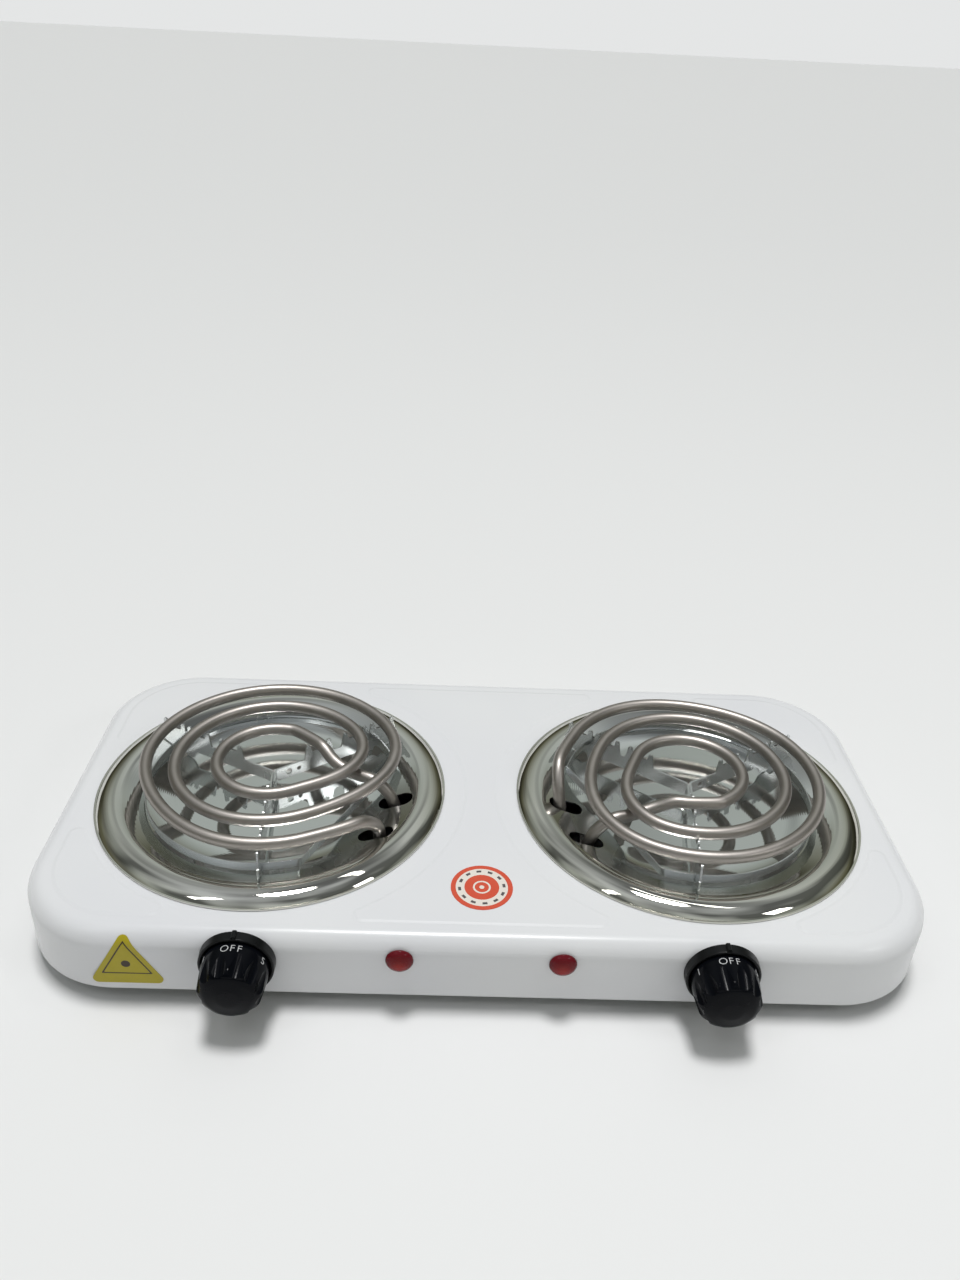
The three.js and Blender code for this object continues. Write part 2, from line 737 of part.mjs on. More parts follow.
function makeTerminalBlock() {
  const [length, depth, height] = BLOCK_SIZE;
  const body = box([-length / 2, -depth / 2, 0], [length / 2, depth / 2, height]);
  const pockets = [-1, 0, 1].map((i) =>
    post(2.6, height - 5, height + 1, 8).translate(i * 13, -4, 0));
  const bore = post(1.7, -1, 6, 8);
  return cut(body, bore, ...pockets);
}
const blockZ = PLATE_Z + PLATE_T + GAP;
addMesh("terminal_block", makeTerminalBlock(), ceramic, GLAND_X, BLOCK_Y, blockZ);
const blockScrewGeometry = screw(3.2, 1.7, 1.4, 6);
addMesh("terminal_block_screw", blockScrewGeometry, zincPlate, GLAND_X, BLOCK_Y, PLATE_Z - GAP);

// ---- internal wires ----
const WIRE_R = 1.3;
const WIRE_Z = 13.5;
const blockTop = blockZ + BLOCK_SIZE[2] + GAP + 0.2;
const wire = (points, steps) => bar(points, WIRE_R, 6, steps);

function thermostatBlade(side, bladeX) {
  const y = FRONT_Y + SHEET + GAP + THERMOSTAT_DEPTH - 4.5;
  return [side * KNOB_X + bladeX, y, KNOB_Z - 12.5 - GAP - 0.2];
}

function terminalPin(name, end) {
  const points = end === "outer" ? OUTER_TERMINAL : [...INNER_TERMINAL].reverse();
  const [x, y, z] = points[0];
  const pin = new THREE.Vector3(x, y, TOP_Z + z - GAP - 9 - GAP - 0.2);
  pin.applyAxisAngle(new THREE.Vector3(0, 0, 1), rad(coilTurn[name]));
  return [SIDES[name] * PAN_X + pin.x, PAN_Y + pin.y, pin.z];
}

const below = ([x, y, z], drop) => [x, y, z - drop];

for (const [name, side] of Object.entries(SIDES)) {
  const hot = thermostatBlade(side, -side * 6);
  const feed = thermostatBlade(side, side * 6);
  const outer = terminalPin(name, "outer");
  const inner = terminalPin(name, "inner");
  const blockPocket = [GLAND_X + side * 13, BLOCK_Y - 4, blockTop];
  const neutralPocket = [GLAND_X + side * 3.2, BLOCK_Y - BLOCK_SIZE[1] / 2 - GAP - 0.2, blockZ + 5];
  const middle = [(hot[0] + outer[0]) / 2 - side * 6, (hot[1] + outer[1]) / 2, WIRE_Z - 1];
  const switchedPoints = [hot, below(hot, 3), middle, below(outer, 2.4), outer];
  addMesh("wire_switched_" + name, wire(switchedPoints, 10), wireSleeve);
  const lane = side * 172;
  const feedPoints = [
    feed,
    below(feed, 3),
    [lane, FRONT_Y + 40, WIRE_Z],
    [lane, REAR_Y - 60 + side * 6, WIRE_Z],
    [GLAND_X + side * 20, BLOCK_Y - 14, blockTop + 7],
    [blockPocket[0], blockPocket[1], blockTop + 4],
    blockPocket,
  ];
  addMesh("wire_feed_" + name, wire(feedPoints, 20), wireSleeve);
  const neutralPoints = [
    inner,
    below(inner, 2.4),
    [(inner[0] + neutralPocket[0]) / 2, (inner[1] + neutralPocket[1]) / 2, WIRE_Z + 4],
    [neutralPocket[0], neutralPocket[1] - 8, neutralPocket[2]],
    neutralPocket,
  ];
  addMesh("wire_neutral_" + name, wire(neutralPoints, 13), wireSleeve);
}

// ---- labels: plain printed discs and a plain warning triangle, with no lettering ----
const LABEL_T = 0.3;
const discLabel = post(15, 0, LABEL_T, 28);
addMesh("top_label", discLabel, labelRed, 0, PAN_Y - 72.4, TOP_Z + GAP);
const triangleLabel = outward(prism(polygon([[-14.5, -11], [14.5, -11], [0, 11]]), 0, LABEL_T));
addMesh("front_label", triangleLabel, labelYellow, -162, FRONT_Y - GAP, TOP_Z - 20.5);

export default hotPlate;
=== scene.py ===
import math

import bpy
from mathutils import Matrix, Vector


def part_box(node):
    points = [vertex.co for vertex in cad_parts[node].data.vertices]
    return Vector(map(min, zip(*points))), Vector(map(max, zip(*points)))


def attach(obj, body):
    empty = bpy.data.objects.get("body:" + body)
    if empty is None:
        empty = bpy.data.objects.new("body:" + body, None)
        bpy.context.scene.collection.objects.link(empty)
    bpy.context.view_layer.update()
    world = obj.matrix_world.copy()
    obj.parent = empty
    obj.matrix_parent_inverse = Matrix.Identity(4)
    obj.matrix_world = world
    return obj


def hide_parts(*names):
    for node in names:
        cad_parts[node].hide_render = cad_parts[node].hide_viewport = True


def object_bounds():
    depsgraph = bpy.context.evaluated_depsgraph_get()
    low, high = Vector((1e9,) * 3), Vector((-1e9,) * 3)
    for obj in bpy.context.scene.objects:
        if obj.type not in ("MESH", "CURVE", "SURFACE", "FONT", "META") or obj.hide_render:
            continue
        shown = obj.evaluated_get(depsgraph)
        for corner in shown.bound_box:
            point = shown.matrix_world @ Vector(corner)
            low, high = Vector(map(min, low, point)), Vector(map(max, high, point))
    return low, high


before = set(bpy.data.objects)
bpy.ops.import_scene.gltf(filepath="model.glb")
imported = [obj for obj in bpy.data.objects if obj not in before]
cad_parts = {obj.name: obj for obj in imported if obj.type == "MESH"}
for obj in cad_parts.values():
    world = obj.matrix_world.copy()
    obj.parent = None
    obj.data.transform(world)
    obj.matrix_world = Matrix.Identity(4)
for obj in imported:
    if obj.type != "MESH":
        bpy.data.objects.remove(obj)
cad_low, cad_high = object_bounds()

# A double-coil electric hot plate. Lengths below are millimetres until they meet Blender,
# and places are read from the frame where it gives them.
MM = 0.001


def middle_of(node):
    low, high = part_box(node)
    return (low + high) / 2 / MM


# ---- driving dimensions ----
HOUSING_LOW, HOUSING_HIGH = (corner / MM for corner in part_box("housing"))
LENGTH, DEPTH, _ = HOUSING_HIGH - HOUSING_LOW
HOUSING_Y = (HOUSING_LOW.y + HOUSING_HIGH.y) / 2
FRONT_Y = HOUSING_LOW.y
REAR_Y = HOUSING_HIGH.y
TOP_Z = HOUSING_HIGH.z
HEM_Z = HOUSING_LOW.z
CORNER_R = 49.5
TOP_FILLET = 8.8
SHEET = 1
FLANGE = 10
GAP = 0.3

SIDES = {"left": -1, "right": 1}
PAN_CENTRE = {name: middle_of("drip_pan_" + name) for name in SIDES}
PAN_R = 92
PAN_HOLE_R = 80
PAN_FLOOR_Z = TOP_Z - 2.3
PAN_SHEET = 0.7
SLOTS = [(57.6, -36.8), (66, -9.4)]
SLOT_LENGTH = 18
SLOT_WIDTH = 10.4

TUBE_R = 3.25
COIL_Z = cad_high.z / MM - TUBE_R
TURN_R = [67.3, 50, 29.5]
STEP_AT = [-378, -735]
STEP_WIDTH = 105
SPIRAL_FROM = -62
SPIRAL_TO = -1010
COIL_TURN = {"left": 0, "right": -140.6}

LEG_T = 1
LEG_LOW = TOP_Z + 3.6
LEG_TOP = TOP_Z + 11
PRONG_TIP = COIL_Z + 0.4
SEAT_HALF = 5.2
PRONG = 2.6
LEG_ANGLES = {"left": [152, -86, 35], "right": [145, -96, 30]}
HOOP_R = 66
HOOP_T = 0.7
HOOP_ARC = 275
HOOP_ARC_FROM = {"left": 16, "right": -111}

KNOB_CENTRE = {name: middle_of("knob_bezel_" + name) for name in SIDES}
KNOB_Z = middle_of("knob_left").z
KNOB_R = 15.2
BEZEL_R = 17.4
BEZEL_DEPTH = 5.3
THERMOSTAT_SCREW_X = 10.4

PLACES = ["front_left", "front_right", "rear_left", "rear_right"]


# ---- camera, lights and floor ----
def add_camera():
    """A phone held over the front edge, a little left of the middle, looking down at the plate."""
    yaw, pitch, roll = (math.radians(angle) for angle in (1.83, -30.11, 2.86))
    ahead = Vector((math.sin(yaw) * math.cos(pitch), math.cos(yaw) * math.cos(pitch), math.sin(pitch)))
    level_right = Vector((math.cos(yaw), -math.sin(yaw), 0))
    level_up = level_right.cross(ahead)
    right = level_right * math.cos(roll) + level_up * math.sin(roll)
    up = level_up * math.cos(roll) - level_right * math.sin(roll)
    lens = bpy.data.cameras.new("camera")
    lens.sensor_width = 36
    lens.lens = 28.95
    camera = bpy.data.objects.new("camera", lens)
    place = Vector((-18.6, -433.5, 393.8)) * MM
    camera.matrix_world = Matrix.Translation(place) @ Matrix((right, up, -ahead)).transposed().to_4x4()
    bpy.context.scene.collection.objects.link(camera)
    bpy.context.scene.camera = camera


def add_softbox(name, place, target, size, power):
    light = bpy.data.lights.new(name, "AREA")
    light.shape = "RECTANGLE"
    light.size, light.size_y = size
    light.energy = power
    lamp = bpy.data.objects.new(name, light)
    aim = Vector(target) - Vector(place)
    lamp.matrix_world = Matrix.Translation(place) @ aim.to_track_quat("-Z", "Y").to_matrix().to_4x4()
    bpy.context.scene.collection.objects.link(lamp)


def add_lights():
    """A wide soft light from above and four softboxes."""
    above = bpy.data.lights.new("ceiling_light", "SUN")
    above.energy = 2.0
    above.angle = math.radians(14)
    ceiling = bpy.data.objects.new("ceiling_light", above)
    ceiling.rotation_euler = (math.radians(-6), 0, 0)
    bpy.context.scene.collection.objects.link(ceiling)
    add_softbox("softbox_front", (0.1, -1.7, 0.42), (0, 0, 0.05), (1.8, 0.2), 1.1)
    add_softbox("softbox_window", (0.95, -0.5, 0.9), (0, 0, 0.05), (0.25, 0.25), 1.2)
    add_softbox("softbox_left", (-0.75, -0.55, 1.25), (0, 0, 0.05), (0.12, 0.5), 0.8)
    add_softbox("softbox_back", (0.35, 0.35, 1.5), (0, 0, 0.05), (0.7, 0.08), 0.7)


def add_room():
    """A room for the metal to reflect: pale below, dark walls low down and uneven grey above.
    The camera itself sees a plain pale backdrop."""
    bpy.context.scene.view_settings.view_transform = "Standard"
    world = bpy.data.worlds.new("studio")
    bpy.context.scene.world = world
    world.use_nodes = True
    tree = world.node_tree
    where = tree.nodes.new("ShaderNodeTexCoord")
    height = tree.nodes.new("ShaderNodeSeparateXYZ")
    ramp = tree.nodes.new("ShaderNodeValToRGB")
    stops = [
        (0.0, (0.8, 0.8, 0.8, 1)),
        (0.516, (0.8, 0.8, 0.8, 1)),
        (0.53, (0.06, 0.06, 0.04, 1)),
        (0.62, (0.085, 0.085, 0.055, 1)),
        (0.70, (0.16, 0.165, 0.14, 1)),
        (0.78, (0.27, 0.29, 0.27, 1)),
        (0.86, (0.36, 0.38, 0.37, 1)),
        (1.0, (0.4, 0.42, 0.44, 1)),
    ]
    while len(ramp.color_ramp.elements) < len(stops):
        ramp.color_ramp.elements.new(0.5)
    for element, (position, color) in zip(ramp.color_ramp.elements, stops):
        element.position = position
        element.color = color
    lift = tree.nodes.new("ShaderNodeMath")
    lift.operation = "MULTIPLY_ADD"
    lift.inputs[1].default_value = 0.5
    lift.inputs[2].default_value = 0.5
    patches = tree.nodes.new("ShaderNodeTexNoise")
    patches.inputs["Scale"].default_value = 1.9
    patches.inputs["Detail"].default_value = 1
    tree.links.new(where.outputs["Generated"], patches.inputs["Vector"])
    spread = tree.nodes.new("ShaderNodeMapRange")
    for name, value in (("From Min", 0.38), ("From Max", 0.62), ("To Min", 0.35), ("To Max", 1.5)):
        spread.inputs[name].default_value = value
    tree.links.new(patches.outputs[0], spread.inputs["Value"])
    above_floor = tree.nodes.new("ShaderNodeMapRange")
    above_floor.inputs["From Min"].default_value = 0.04
    above_floor.inputs["From Max"].default_value = 0.12
    tree.links.new(height.outputs["Z"], above_floor.inputs["Value"])
    strength = tree.nodes.new("ShaderNodeMix")
    strength.inputs[2].default_value = 1
    tree.links.new(above_floor.outputs[0], strength.inputs[0])
    tree.links.new(spread.outputs[0], strength.inputs[3])
    tree.links.new(strength.outputs[0], tree.nodes["Background"].inputs["Strength"])
    tree.links.new(where.outputs["Generated"], height.inputs[0])
    tree.links.new(height.outputs["Z"], lift.inputs[0])
    tree.links.new(lift.outputs[0], ramp.inputs[0])
    room = tree.nodes["Background"]
    tree.links.new(ramp.outputs["Color"], room.inputs["Color"])
    seen = tree.nodes.new("ShaderNodeLightPath")
    plain = tree.nodes.new("ShaderNodeBackground")
    plain.inputs["Color"].default_value = (0.78, 0.79, 0.79, 1)
    choice = tree.nodes.new("ShaderNodeMixShader")
    tree.links.new(seen.outputs["Is Camera Ray"], choice.inputs[0])
    tree.links.new(room.outputs[0], choice.inputs[1])
    tree.links.new(plain.outputs[0], choice.inputs[2])
    tree.links.new(choice.outputs[0], tree.nodes["World Output"].inputs["Surface"])


def add_floor():
    bpy.ops.mesh.primitive_plane_add(size=400, location=(0, 0, 0))
    floor = bpy.context.object
    floor.name = "floor"
    paint = Paint("floor_white", color=(0.81, 0.81, 0.81, 1), roughness=0.7)
    floor.data.materials.append(paint.material)


# ---- shader maths ----
class Value:
    """A shader socket that works in Python expressions."""

    def __init__(self, paint, socket):
        self.paint = paint
        self.socket = socket

    def _math(self, operation, *others):
        return self.paint.node("ShaderNodeMath", {"operation": operation}, self, *others)

    def __add__(self, other):
        return self._math("ADD", other)

    def __sub__(self, other):
        return self._math("SUBTRACT", other)

    def __mul__(self, other):
        return self._math("MULTIPLY", other)

    def __pow__(self, other):
        return self._math("POWER", other)

    def __gt__(self, other):
        return self._math("GREATER_THAN", other)

    def __lt__(self, other):
        return self._math("LESS_THAN", other)

    __radd__ = __add__
    __rmul__ = __mul__

    def sine(self):
        return self._math("SINE")

    def absolute(self):
        return self._math("ABSOLUTE")


class Paint:
    """A material on one Principled shader, whose inputs are named in plain words."""

    SOCKETS = {
        "color": "Base Color",
        "roughness": "Roughness",
        "metallic": "Metallic",
        "coat": "Coat Weight",
        "coat_roughness": "Coat Roughness",
        "specular": "Specular IOR Level",
        "normal": "Normal",
        "ior": "IOR",
    }

    def __init__(self, name, **looks):
        self.material = bpy.data.materials.new(name)
        self.material.use_nodes = True
        self.tree = self.material.node_tree
        self.shader = self.tree.nodes["Principled BSDF"]
        self.set(**looks)

    def set(self, **looks):
        for word, value in looks.items():
            self._feed(self.shader.inputs[self.SOCKETS[word]], value)
        return self

    def _feed(self, socket, value):
        if isinstance(value, Value):
            self.tree.links.new(value.socket, socket)
        else:
            socket.default_value = value

    def node(self, kind, settings=None, *values, output=0, **named):
        """A node of that kind: its settings, then its inputs in order or by identifier or name."""
        node = self.tree.nodes.new(kind)
        for word, value in (settings or {}).items():
            setattr(node, word, value)
        for socket, value in zip(node.inputs, values):
            self._feed(socket, value)
        for word, value in named.items():
            matches = [s for s in node.inputs if word in (s.identifier, s.name)]
            self._feed(matches[0], value)
        return Value(self, node.outputs[output])

    def place(self, scale=(1, 1, 1), location=(0, 0, 0)):
        """Object coordinates in metres, moved and scaled by a Mapping node."""
        where = self.node("ShaderNodeTexCoord", output="Object")
        return self.node("ShaderNodeMapping", None, Vector=where, Location=location, Scale=scale)

    def axes(self, centre=(0, 0, 0)):
        """The x, y and z distances from centre, in millimetres."""
        place = self.place((1000, 1000, 1000), tuple(-value for value in centre))
        return [self.node("ShaderNodeSeparateXYZ", None, place, output=axis) for axis in "XYZ"]

    def noise(self, scale, detail, rough=0.55, stretch=(1, 1, 1)):
        return self.node(
            "ShaderNodeTexNoise",
            None,
            Vector=self.place(stretch),
            Scale=scale,
            Detail=detail,
            Roughness=rough,
        )

    def between(self, value, low, high, start=0.0, end=1.0):
        """value from low..high taken to start..end, and held there outside."""
        return self.node("ShaderNodeMapRange", {"clamp": True}, value, low, high, start, end)

    def mix(self, factor, first, second):
        return self.node(
            "ShaderNodeMix",
            {"data_type": "RGBA"},
            output=2,
            Factor_Float=factor,
            A_Color=first,
            B_Color=second,
        )

    def bump(self, height, distance, strength):
        return self.node("ShaderNodeBump", None, Strength=strength, Distance=distance, Height=height)


# ---- materials ----
def enamel_paint():
    """Glossy white powder coat: a fine orange peel, with a faint change of tone and gloss."""
    paint = Paint("white_powder_coat", specular=0.28, coat=0.06, coat_roughness=0.1)
    tone = paint.between(paint.noise(9, 2), 0.3, 0.7)
    peel = paint.noise(900, 2)
    grime = paint.between(paint.noise(60, 5, 0.7), 0.45, 0.75)
    return paint.set(
        color=paint.mix(tone, (0.72, 0.725, 0.75, 1), (0.76, 0.765, 0.775, 1)),
        roughness=0.24 + 0.03 * grime,
        normal=paint.bump(peel, 0.00003, 0.35),
    )


def chrome_paint(centre):
    """Mirror plate on a pressed pan: faint turning rings, a slow waviness and a few dull wipes."""
    paint = Paint("mirror_chrome_pan", metallic=1.0)
    x, y, _ = paint.axes((centre.x, centre.y, TOP_Z))
    radius = (x * x + y * y) ** 0.5
    rings = (radius * 5.5 + paint.noise(30, 2) * 3).sine()
    wave = paint.noise(14, 1, 0.4)
    wipes = paint.between(paint.noise(35, 5, 0.7, (1, 2.5, 1)), 0.5, 0.8)
    tint = paint.between(paint.noise(8, 2), 0.4, 0.7)
    floor_to_rim = paint.between(radius, 70, 84)
    warm = paint.mix(tint, (0.70, 0.69, 0.64, 1), (0.66, 0.65, 0.58, 1))
    height = wave * 0.3 + rings * 0.003
    return paint.set(
        color=paint.mix(floor_to_rim, (0.70, 0.72, 0.71, 1), warm),
        roughness=0.035 + 0.09 * wipes,
        normal=paint.bump(height, 0.0016, 0.35),
    )


def sheath_paint():
    """Satin nickel-steel heater sheath, browned by heat in slow patches, with a fine drawn grain."""
    paint = Paint("heater_sheath", metallic=1.0)
    cloud = paint.between(paint.noise(22, 2), 0.35, 0.7)
    fine = paint.noise(900, 3, 0.6)
    rubbed = paint.between(paint.noise(60, 4, 0.65), 0.5, 0.75)
    warm = paint.mix(cloud, (0.42, 0.388, 0.36, 1), (0.365, 0.34, 0.32, 1))
    return paint.set(
        color=paint.mix(rubbed * 0.35, warm, (0.48, 0.455, 0.43, 1)),
        roughness=paint.between(fine + rubbed * 0.3, 0.3, 1.0, 0.4, 0.48),
        normal=paint.bump(fine, 0.00002, 0.25),
    )


def zinc_paint(name, color, rough_low, rough_high, spangle=60):
    """Zinc plate: cloudy patches of brighter and duller metal, broad enough to read as one surface."""
    paint = Paint(name, metallic=1.0)
    cells = paint.node("ShaderNodeTexVoronoi", None, Vector=paint.place(), Scale=spangle)
    patch = paint.between(cells, 0.1, 0.7)
    cloud = paint.between(paint.noise(25, 2), 0.35, 0.65)
    dark = tuple(0.85 * channel for channel in color)
    return paint.set(
        color=paint.mix(cloud * 0.5 + patch * 0.15, (*color, 1), (*dark, 1)),
        roughness=paint.between(cloud, 0, 1, rough_low, rough_high),
    )


def plastic_paint(name, color, rough_low, rough_high, grain=600, depth=0.00003, specular=0.5):
    """Moulded plastic: a tight grain, and gloss that varies with handling."""
    paint = Paint(name, specular=specular)
    handling = paint.between(paint.noise(45, 4, 0.65), 0.35, 0.7)
    light = tuple(min(1, channel * 1.5 + 0.004) for channel in color)
    return paint.set(
        color=paint.mix(handling * 0.4, (*color, 1), (*light, 1)),
        roughness=paint.between(handling, 0, 1, rough_low, rough_high),
        normal=paint.bump(paint.noise(grain, 2), depth, 0.4),
    )


def lens_paint(centre):
    """Red lamp lens: painted shade deep at the rim, and a painted glow brighter low down in the middle,
    where light would gather.
    """
    paint = Paint("red_lamp_lens", specular=0.16)
    x, y, z = paint.axes(tuple(centre))
    radius = (x * x + z * z) ** 0.5
    ribs = (radius * 7).sine()
    # painted shade towards the rim, and a painted glow that is brighter low down in the middle
    rim_shade_mask = paint.between(radius, 1.0, 6.0)
    low = paint.between(z, -5, 4)
    painted_glow_color = paint.mix(low, (0.44, 0.025, 0.02, 1), (0.14, 0.01, 0.01, 1))
    return paint.set(
        color=paint.mix(rim_shade_mask, painted_glow_color, (0.13, 0.008, 0.014, 1)),
        roughness=paint.between(paint.noise(300, 2), 0.3, 0.7, 0.08, 0.14),
        normal=paint.bump(ribs, 0.00012, 0.35),
    )


def disc_label_paint(centre):
    """A printed disc: red rim, cream band with plain ticks, red middle with a cream ring."""
    paint = Paint("printed_disc", specular=0.4)
    x, y, _ = paint.axes(tuple(centre))
    radius = (x * x + y * y) ** 0.5
    angle = paint.node("ShaderNodeMath", {"operation": "ARCTAN2"}, y, x)
    band = (radius > 8.4) * (radius < 12.6)
    ticks = (radius > 10.1) * (radius < 11.5) * ((angle * 12).sine() > 0.25)
    ring = (radius > 3.4) * (radius < 4.3)
    spot = radius < 1.2
    red = paint.mix(paint.noise(700, 3), (0.60, 0.075, 0.035, 1), (0.68, 0.095, 0.045, 1))
    cream = (0.78, 0.73, 0.66, 1)
    color = paint.mix(band + ring + spot, red, cream)
    return paint.set(
        color=paint.mix(ticks, color, (0.1, 0.09, 0.09, 1)),
        roughness=paint.between(paint.noise(120, 3), 0.3, 0.7, 0.3, 0.45),
    )


def triangle_label_paint(low):
    """A printed yellow triangle with a dark inner border and one plain spot. low is its bottom edge."""
    paint = Paint("printed_triangle", specular=0.4)
    x, y, z = paint.axes(tuple(low))
    rise = z + (y * 0.6)  # the top of the label leans back over the housing's edge
    side = x.absolute()
    lean = side * 0.866 + (rise - 25.6) * 0.5
    foot = (rise - 6.2) * -1
    edge = paint.node("ShaderNodeMath", {"operation": "SMOOTH_MAX"}, lean, foot, 1.2)
    border = (edge > -0.35) * (edge < 0.35)
    spot = (x * x + (rise - 12.2) * (rise - 12.2)) < 4.4
    yellow = paint.mix(paint.noise(260, 3), (0.40, 0.33, 0.008, 1), (0.47, 0.39, 0.014, 1))
    return paint.set(
        color=paint.mix(border + spot, yellow, (0.04, 0.025, 0.01, 1)),
        roughness=paint.between(paint.noise(150, 3), 0.3, 0.7, 0.32, 0.46),
    )


def ink_paint():
    """White pad-printed ink, a little thin in places."""
    paint = Paint("white_ink")
    worn = paint.between(paint.noise(900, 3), 0.3, 0.7)
    return paint.set(
        color=paint.mix(worn, (0.5, 0.51, 0.52, 1), (0.66, 0.66, 0.66, 1)),
        roughness=paint.between(worn, 0, 1, 0.35, 0.5),
    )


def sleeve_paint():
    """Woven glass-fibre sleeve: two crossing sets of threads."""
    paint = Paint("woven_sleeve")
    x, y, z = paint.axes()
    weave = ((x + y + z) * 9).sine() * ((x - y + z) * 9).sine()
    shade = paint.between(weave, -1, 1)
    return paint.set(
        color=paint.mix(shade, (0.55, 0.52, 0.46, 1), (0.75, 0.72, 0.66, 1)),
        roughness=paint.between(shade, 0, 1, 0.85, 0.7),
        normal=paint.bump(weave, 0.0002, 0.4),
    )


def glass_paint():
    """Pale lamp glass, a little pink from the electrodes inside."""
    paint = Paint("neon_glass", ior=1.5)
    haze = paint.noise(300, 3)
    return paint.set(
        color=paint.mix(haze, (0.8, 0.62, 0.5, 1), (0.9, 0.78, 0.7, 1)),
        roughness=paint.between(haze, 0.3, 0.7, 0.08, 0.18),
    )


# ---- modelling by operators ----
def clear():
    """Object mode, with nothing selected."""
    if bpy.context.object and bpy.context.object.mode != "OBJECT":
        bpy.ops.object.mode_set(mode="OBJECT")
    bpy.ops.object.select_all(action="DESELECT")


def only(piece):
    clear()
    piece.select_set(True)
    bpy.context.view_layer.objects.active = piece


def edit(piece, action="SELECT"):
    only(piece)
    bpy.ops.object.mode_set(mode="EDIT")
    bpy.ops.mesh.select_mode(type="VERT")
    bpy.ops.mesh.select_all(action=action)


def vector(point):
    return Vector(point) * MM


def wire(name, points, closed=False):
    """Edges through points, drawn as by hand: one vertex, extruded from point to point."""
    clear()
    bpy.ops.mesh.primitive_plane_add(size=MM)
    piece = bpy.context.object
    piece.name = piece.data.name = name
    bpy.ops.object.mode_set(mode="EDIT")
    bpy.ops.mesh.select_mode(type="VERT")
    bpy.ops.mesh.merge(type="CENTER")
    bpy.ops.transform.translate(value=vector(points[0]))
    for start, end in zip(points, points[1:]):
        step = vector(end) - vector(start)
        bpy.ops.mesh.extrude_vertices_move(TRANSFORM_OT_translate={"value": step})
    bpy.ops.mesh.select_all(action="SELECT")
    if closed:
        bpy.ops.mesh.edge_face_add()
    return piece


def tidy_mesh():
    """In edit mode: doubles merged and faces turned outwards."""
    bpy.ops.mesh.select_all(action="SELECT")
    bpy.ops.mesh.remove_doubles(threshold=0.002 * MM)
    bpy.ops.mesh.normals_make_consistent(inside=False)


def lathe(name, profile, steps):
    """A closed turning about Z of [radius, height] points."""
    piece = wire(name, [(radius, 0, height) for radius, height in profile])
    bpy.ops.mesh.spin(steps=steps, angle=math.tau, center=(0, 0, 0), axis=(0, 0, 1))
    tidy_mesh()
    bpy.ops.object.mode_set(mode="OBJECT")
    return piece


def slab(name, outline, low, high):
    """A flat outline of (x, y) points, raised from low to high."""
    piece = wire(name, [(x, y, low) for x, y in outline], closed=True)
    bpy.ops.mesh.extrude_region_move(TRANSFORM_OT_translate={"value": (0, 0, (high - low) * MM)})
    tidy_mesh()
    bpy.ops.object.mode_set(mode="OBJECT")
    return piece


def rod(name, radius, low, high, vertices):
    clear()
    bpy.ops.mesh.primitive_cylinder_add(
        vertices=vertices,
        radius=radius * MM,
        depth=(high - low) * MM,
        location=(0, 0, (high + low) / 2 * MM),
    )
    piece = bpy.context.object
    piece.name = piece.data.name = name
    return settle(piece)


def settle(piece, turn=(0, 0, 0), move=(0, 0, 0)):
    """Turns (degrees) and moves the piece, and keeps its place in its mesh."""
    only(piece)
    piece.rotation_euler = [math.radians(angle) for angle in turn]
    piece.location += vector(move)
    bpy.ops.object.transform_apply(location=True, rotation=True, scale=True)
    return piece


def outward(piece, place):
    """From standing on the front wall's plane, with +Z out of it, to facing the front at place."""
    return settle(piece, (90, 0, 0), place)


def modify(piece, kind, **settings):
    only(piece)
    modifier = piece.modifiers.new(kind.lower(), kind)
    for word, value in settings.items():
        setattr(modifier, word, value)
    bpy.ops.object.modifier_apply(modifier=modifier.name)
    return piece


def carve(piece, *cutters, operation="DIFFERENCE"):
    for cutter in cutters:
        modify(piece, "BOOLEAN", operation=operation, solver="EXACT", object=cutter)
        bpy.data.objects.remove(cutter)
    return piece


def weld(piece, *others):
    return carve(piece, *others, operation="UNION")


def bevelled(piece, width, segments, angle):
    return modify(
        piece,
        "BEVEL",
        width=width * MM,
        segments=segments,
        limit_method="ANGLE",
        angle_limit=math.radians(angle),
        use_clamp_overlap=True,
    )


def smooth(piece, angle):
    """Smooth shading up to the angle, with flat faces kept flat."""
    only(piece)
    bpy.ops.object.shade_smooth_by_angle(angle=math.radians(angle))
    return modify(piece, "WEIGHTED_NORMAL", keep_sharp=True, weight=50)


def finish(piece, paint, slot, body, *nodes):
    """Paint, body and the CAD nodes that the piece stands for. slot is not used."""
    piece.data.materials.clear()
    piece.data.materials.append(paint.material)
    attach(piece, body)
    if nodes:
        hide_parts(*nodes)
    return piece


# ---- outlines ----
def rounded(points, radius, steps, closed=False):
    """The points with each corner turned into an arc of that radius, or as much as fits.
    radius is one number, or a list with one for each point."""
    corners = [Vector(point) for point in points]
    count = len(corners)
    radii = radius if isinstance(radius, list) else [radius] * count
    made = []
    for i, corner in enumerate(corners):
        if not closed and i in (0, count - 1):
            made.append(tuple(corner))
            continue
        to_last = corners[i - 1] - corner
        to_next = corners[(i + 1) % count] - corner
        half_turn = to_last.angle(to_next) / 2
        if math.pi / 2 - half_turn < 0.01:
            made.append(tuple(corner))
            continue
        reach = min(radii[i] / math.tan(half_turn), to_last.length * 0.48, to_next.length * 0.48)
        arc_r = reach * math.tan(half_turn)
        start = corner + to_last.normalized() * reach
        end = corner + to_next.normalized() * reach
        bisector = (to_last.normalized() + to_next.normalized()).normalized()
        centre = corner + bisector * (arc_r / math.sin(half_turn))
        for k in range(steps + 1):
            chord = start.lerp(end, k / steps)
            ray = (chord - centre).normalized()
            made.append(tuple(centre + ray * arc_r))
    return made


def rounded_rectangle(length, depth, radius, steps, centre=(0, 0)):
    x, y = length / 2, depth / 2
    corners = [(-x, -y), (x, -y), (x, y), (-x, y)]
    moved = [(u + centre[0], v + centre[1]) for u, v in corners]
    return rounded(moved, radius, steps, closed=True)


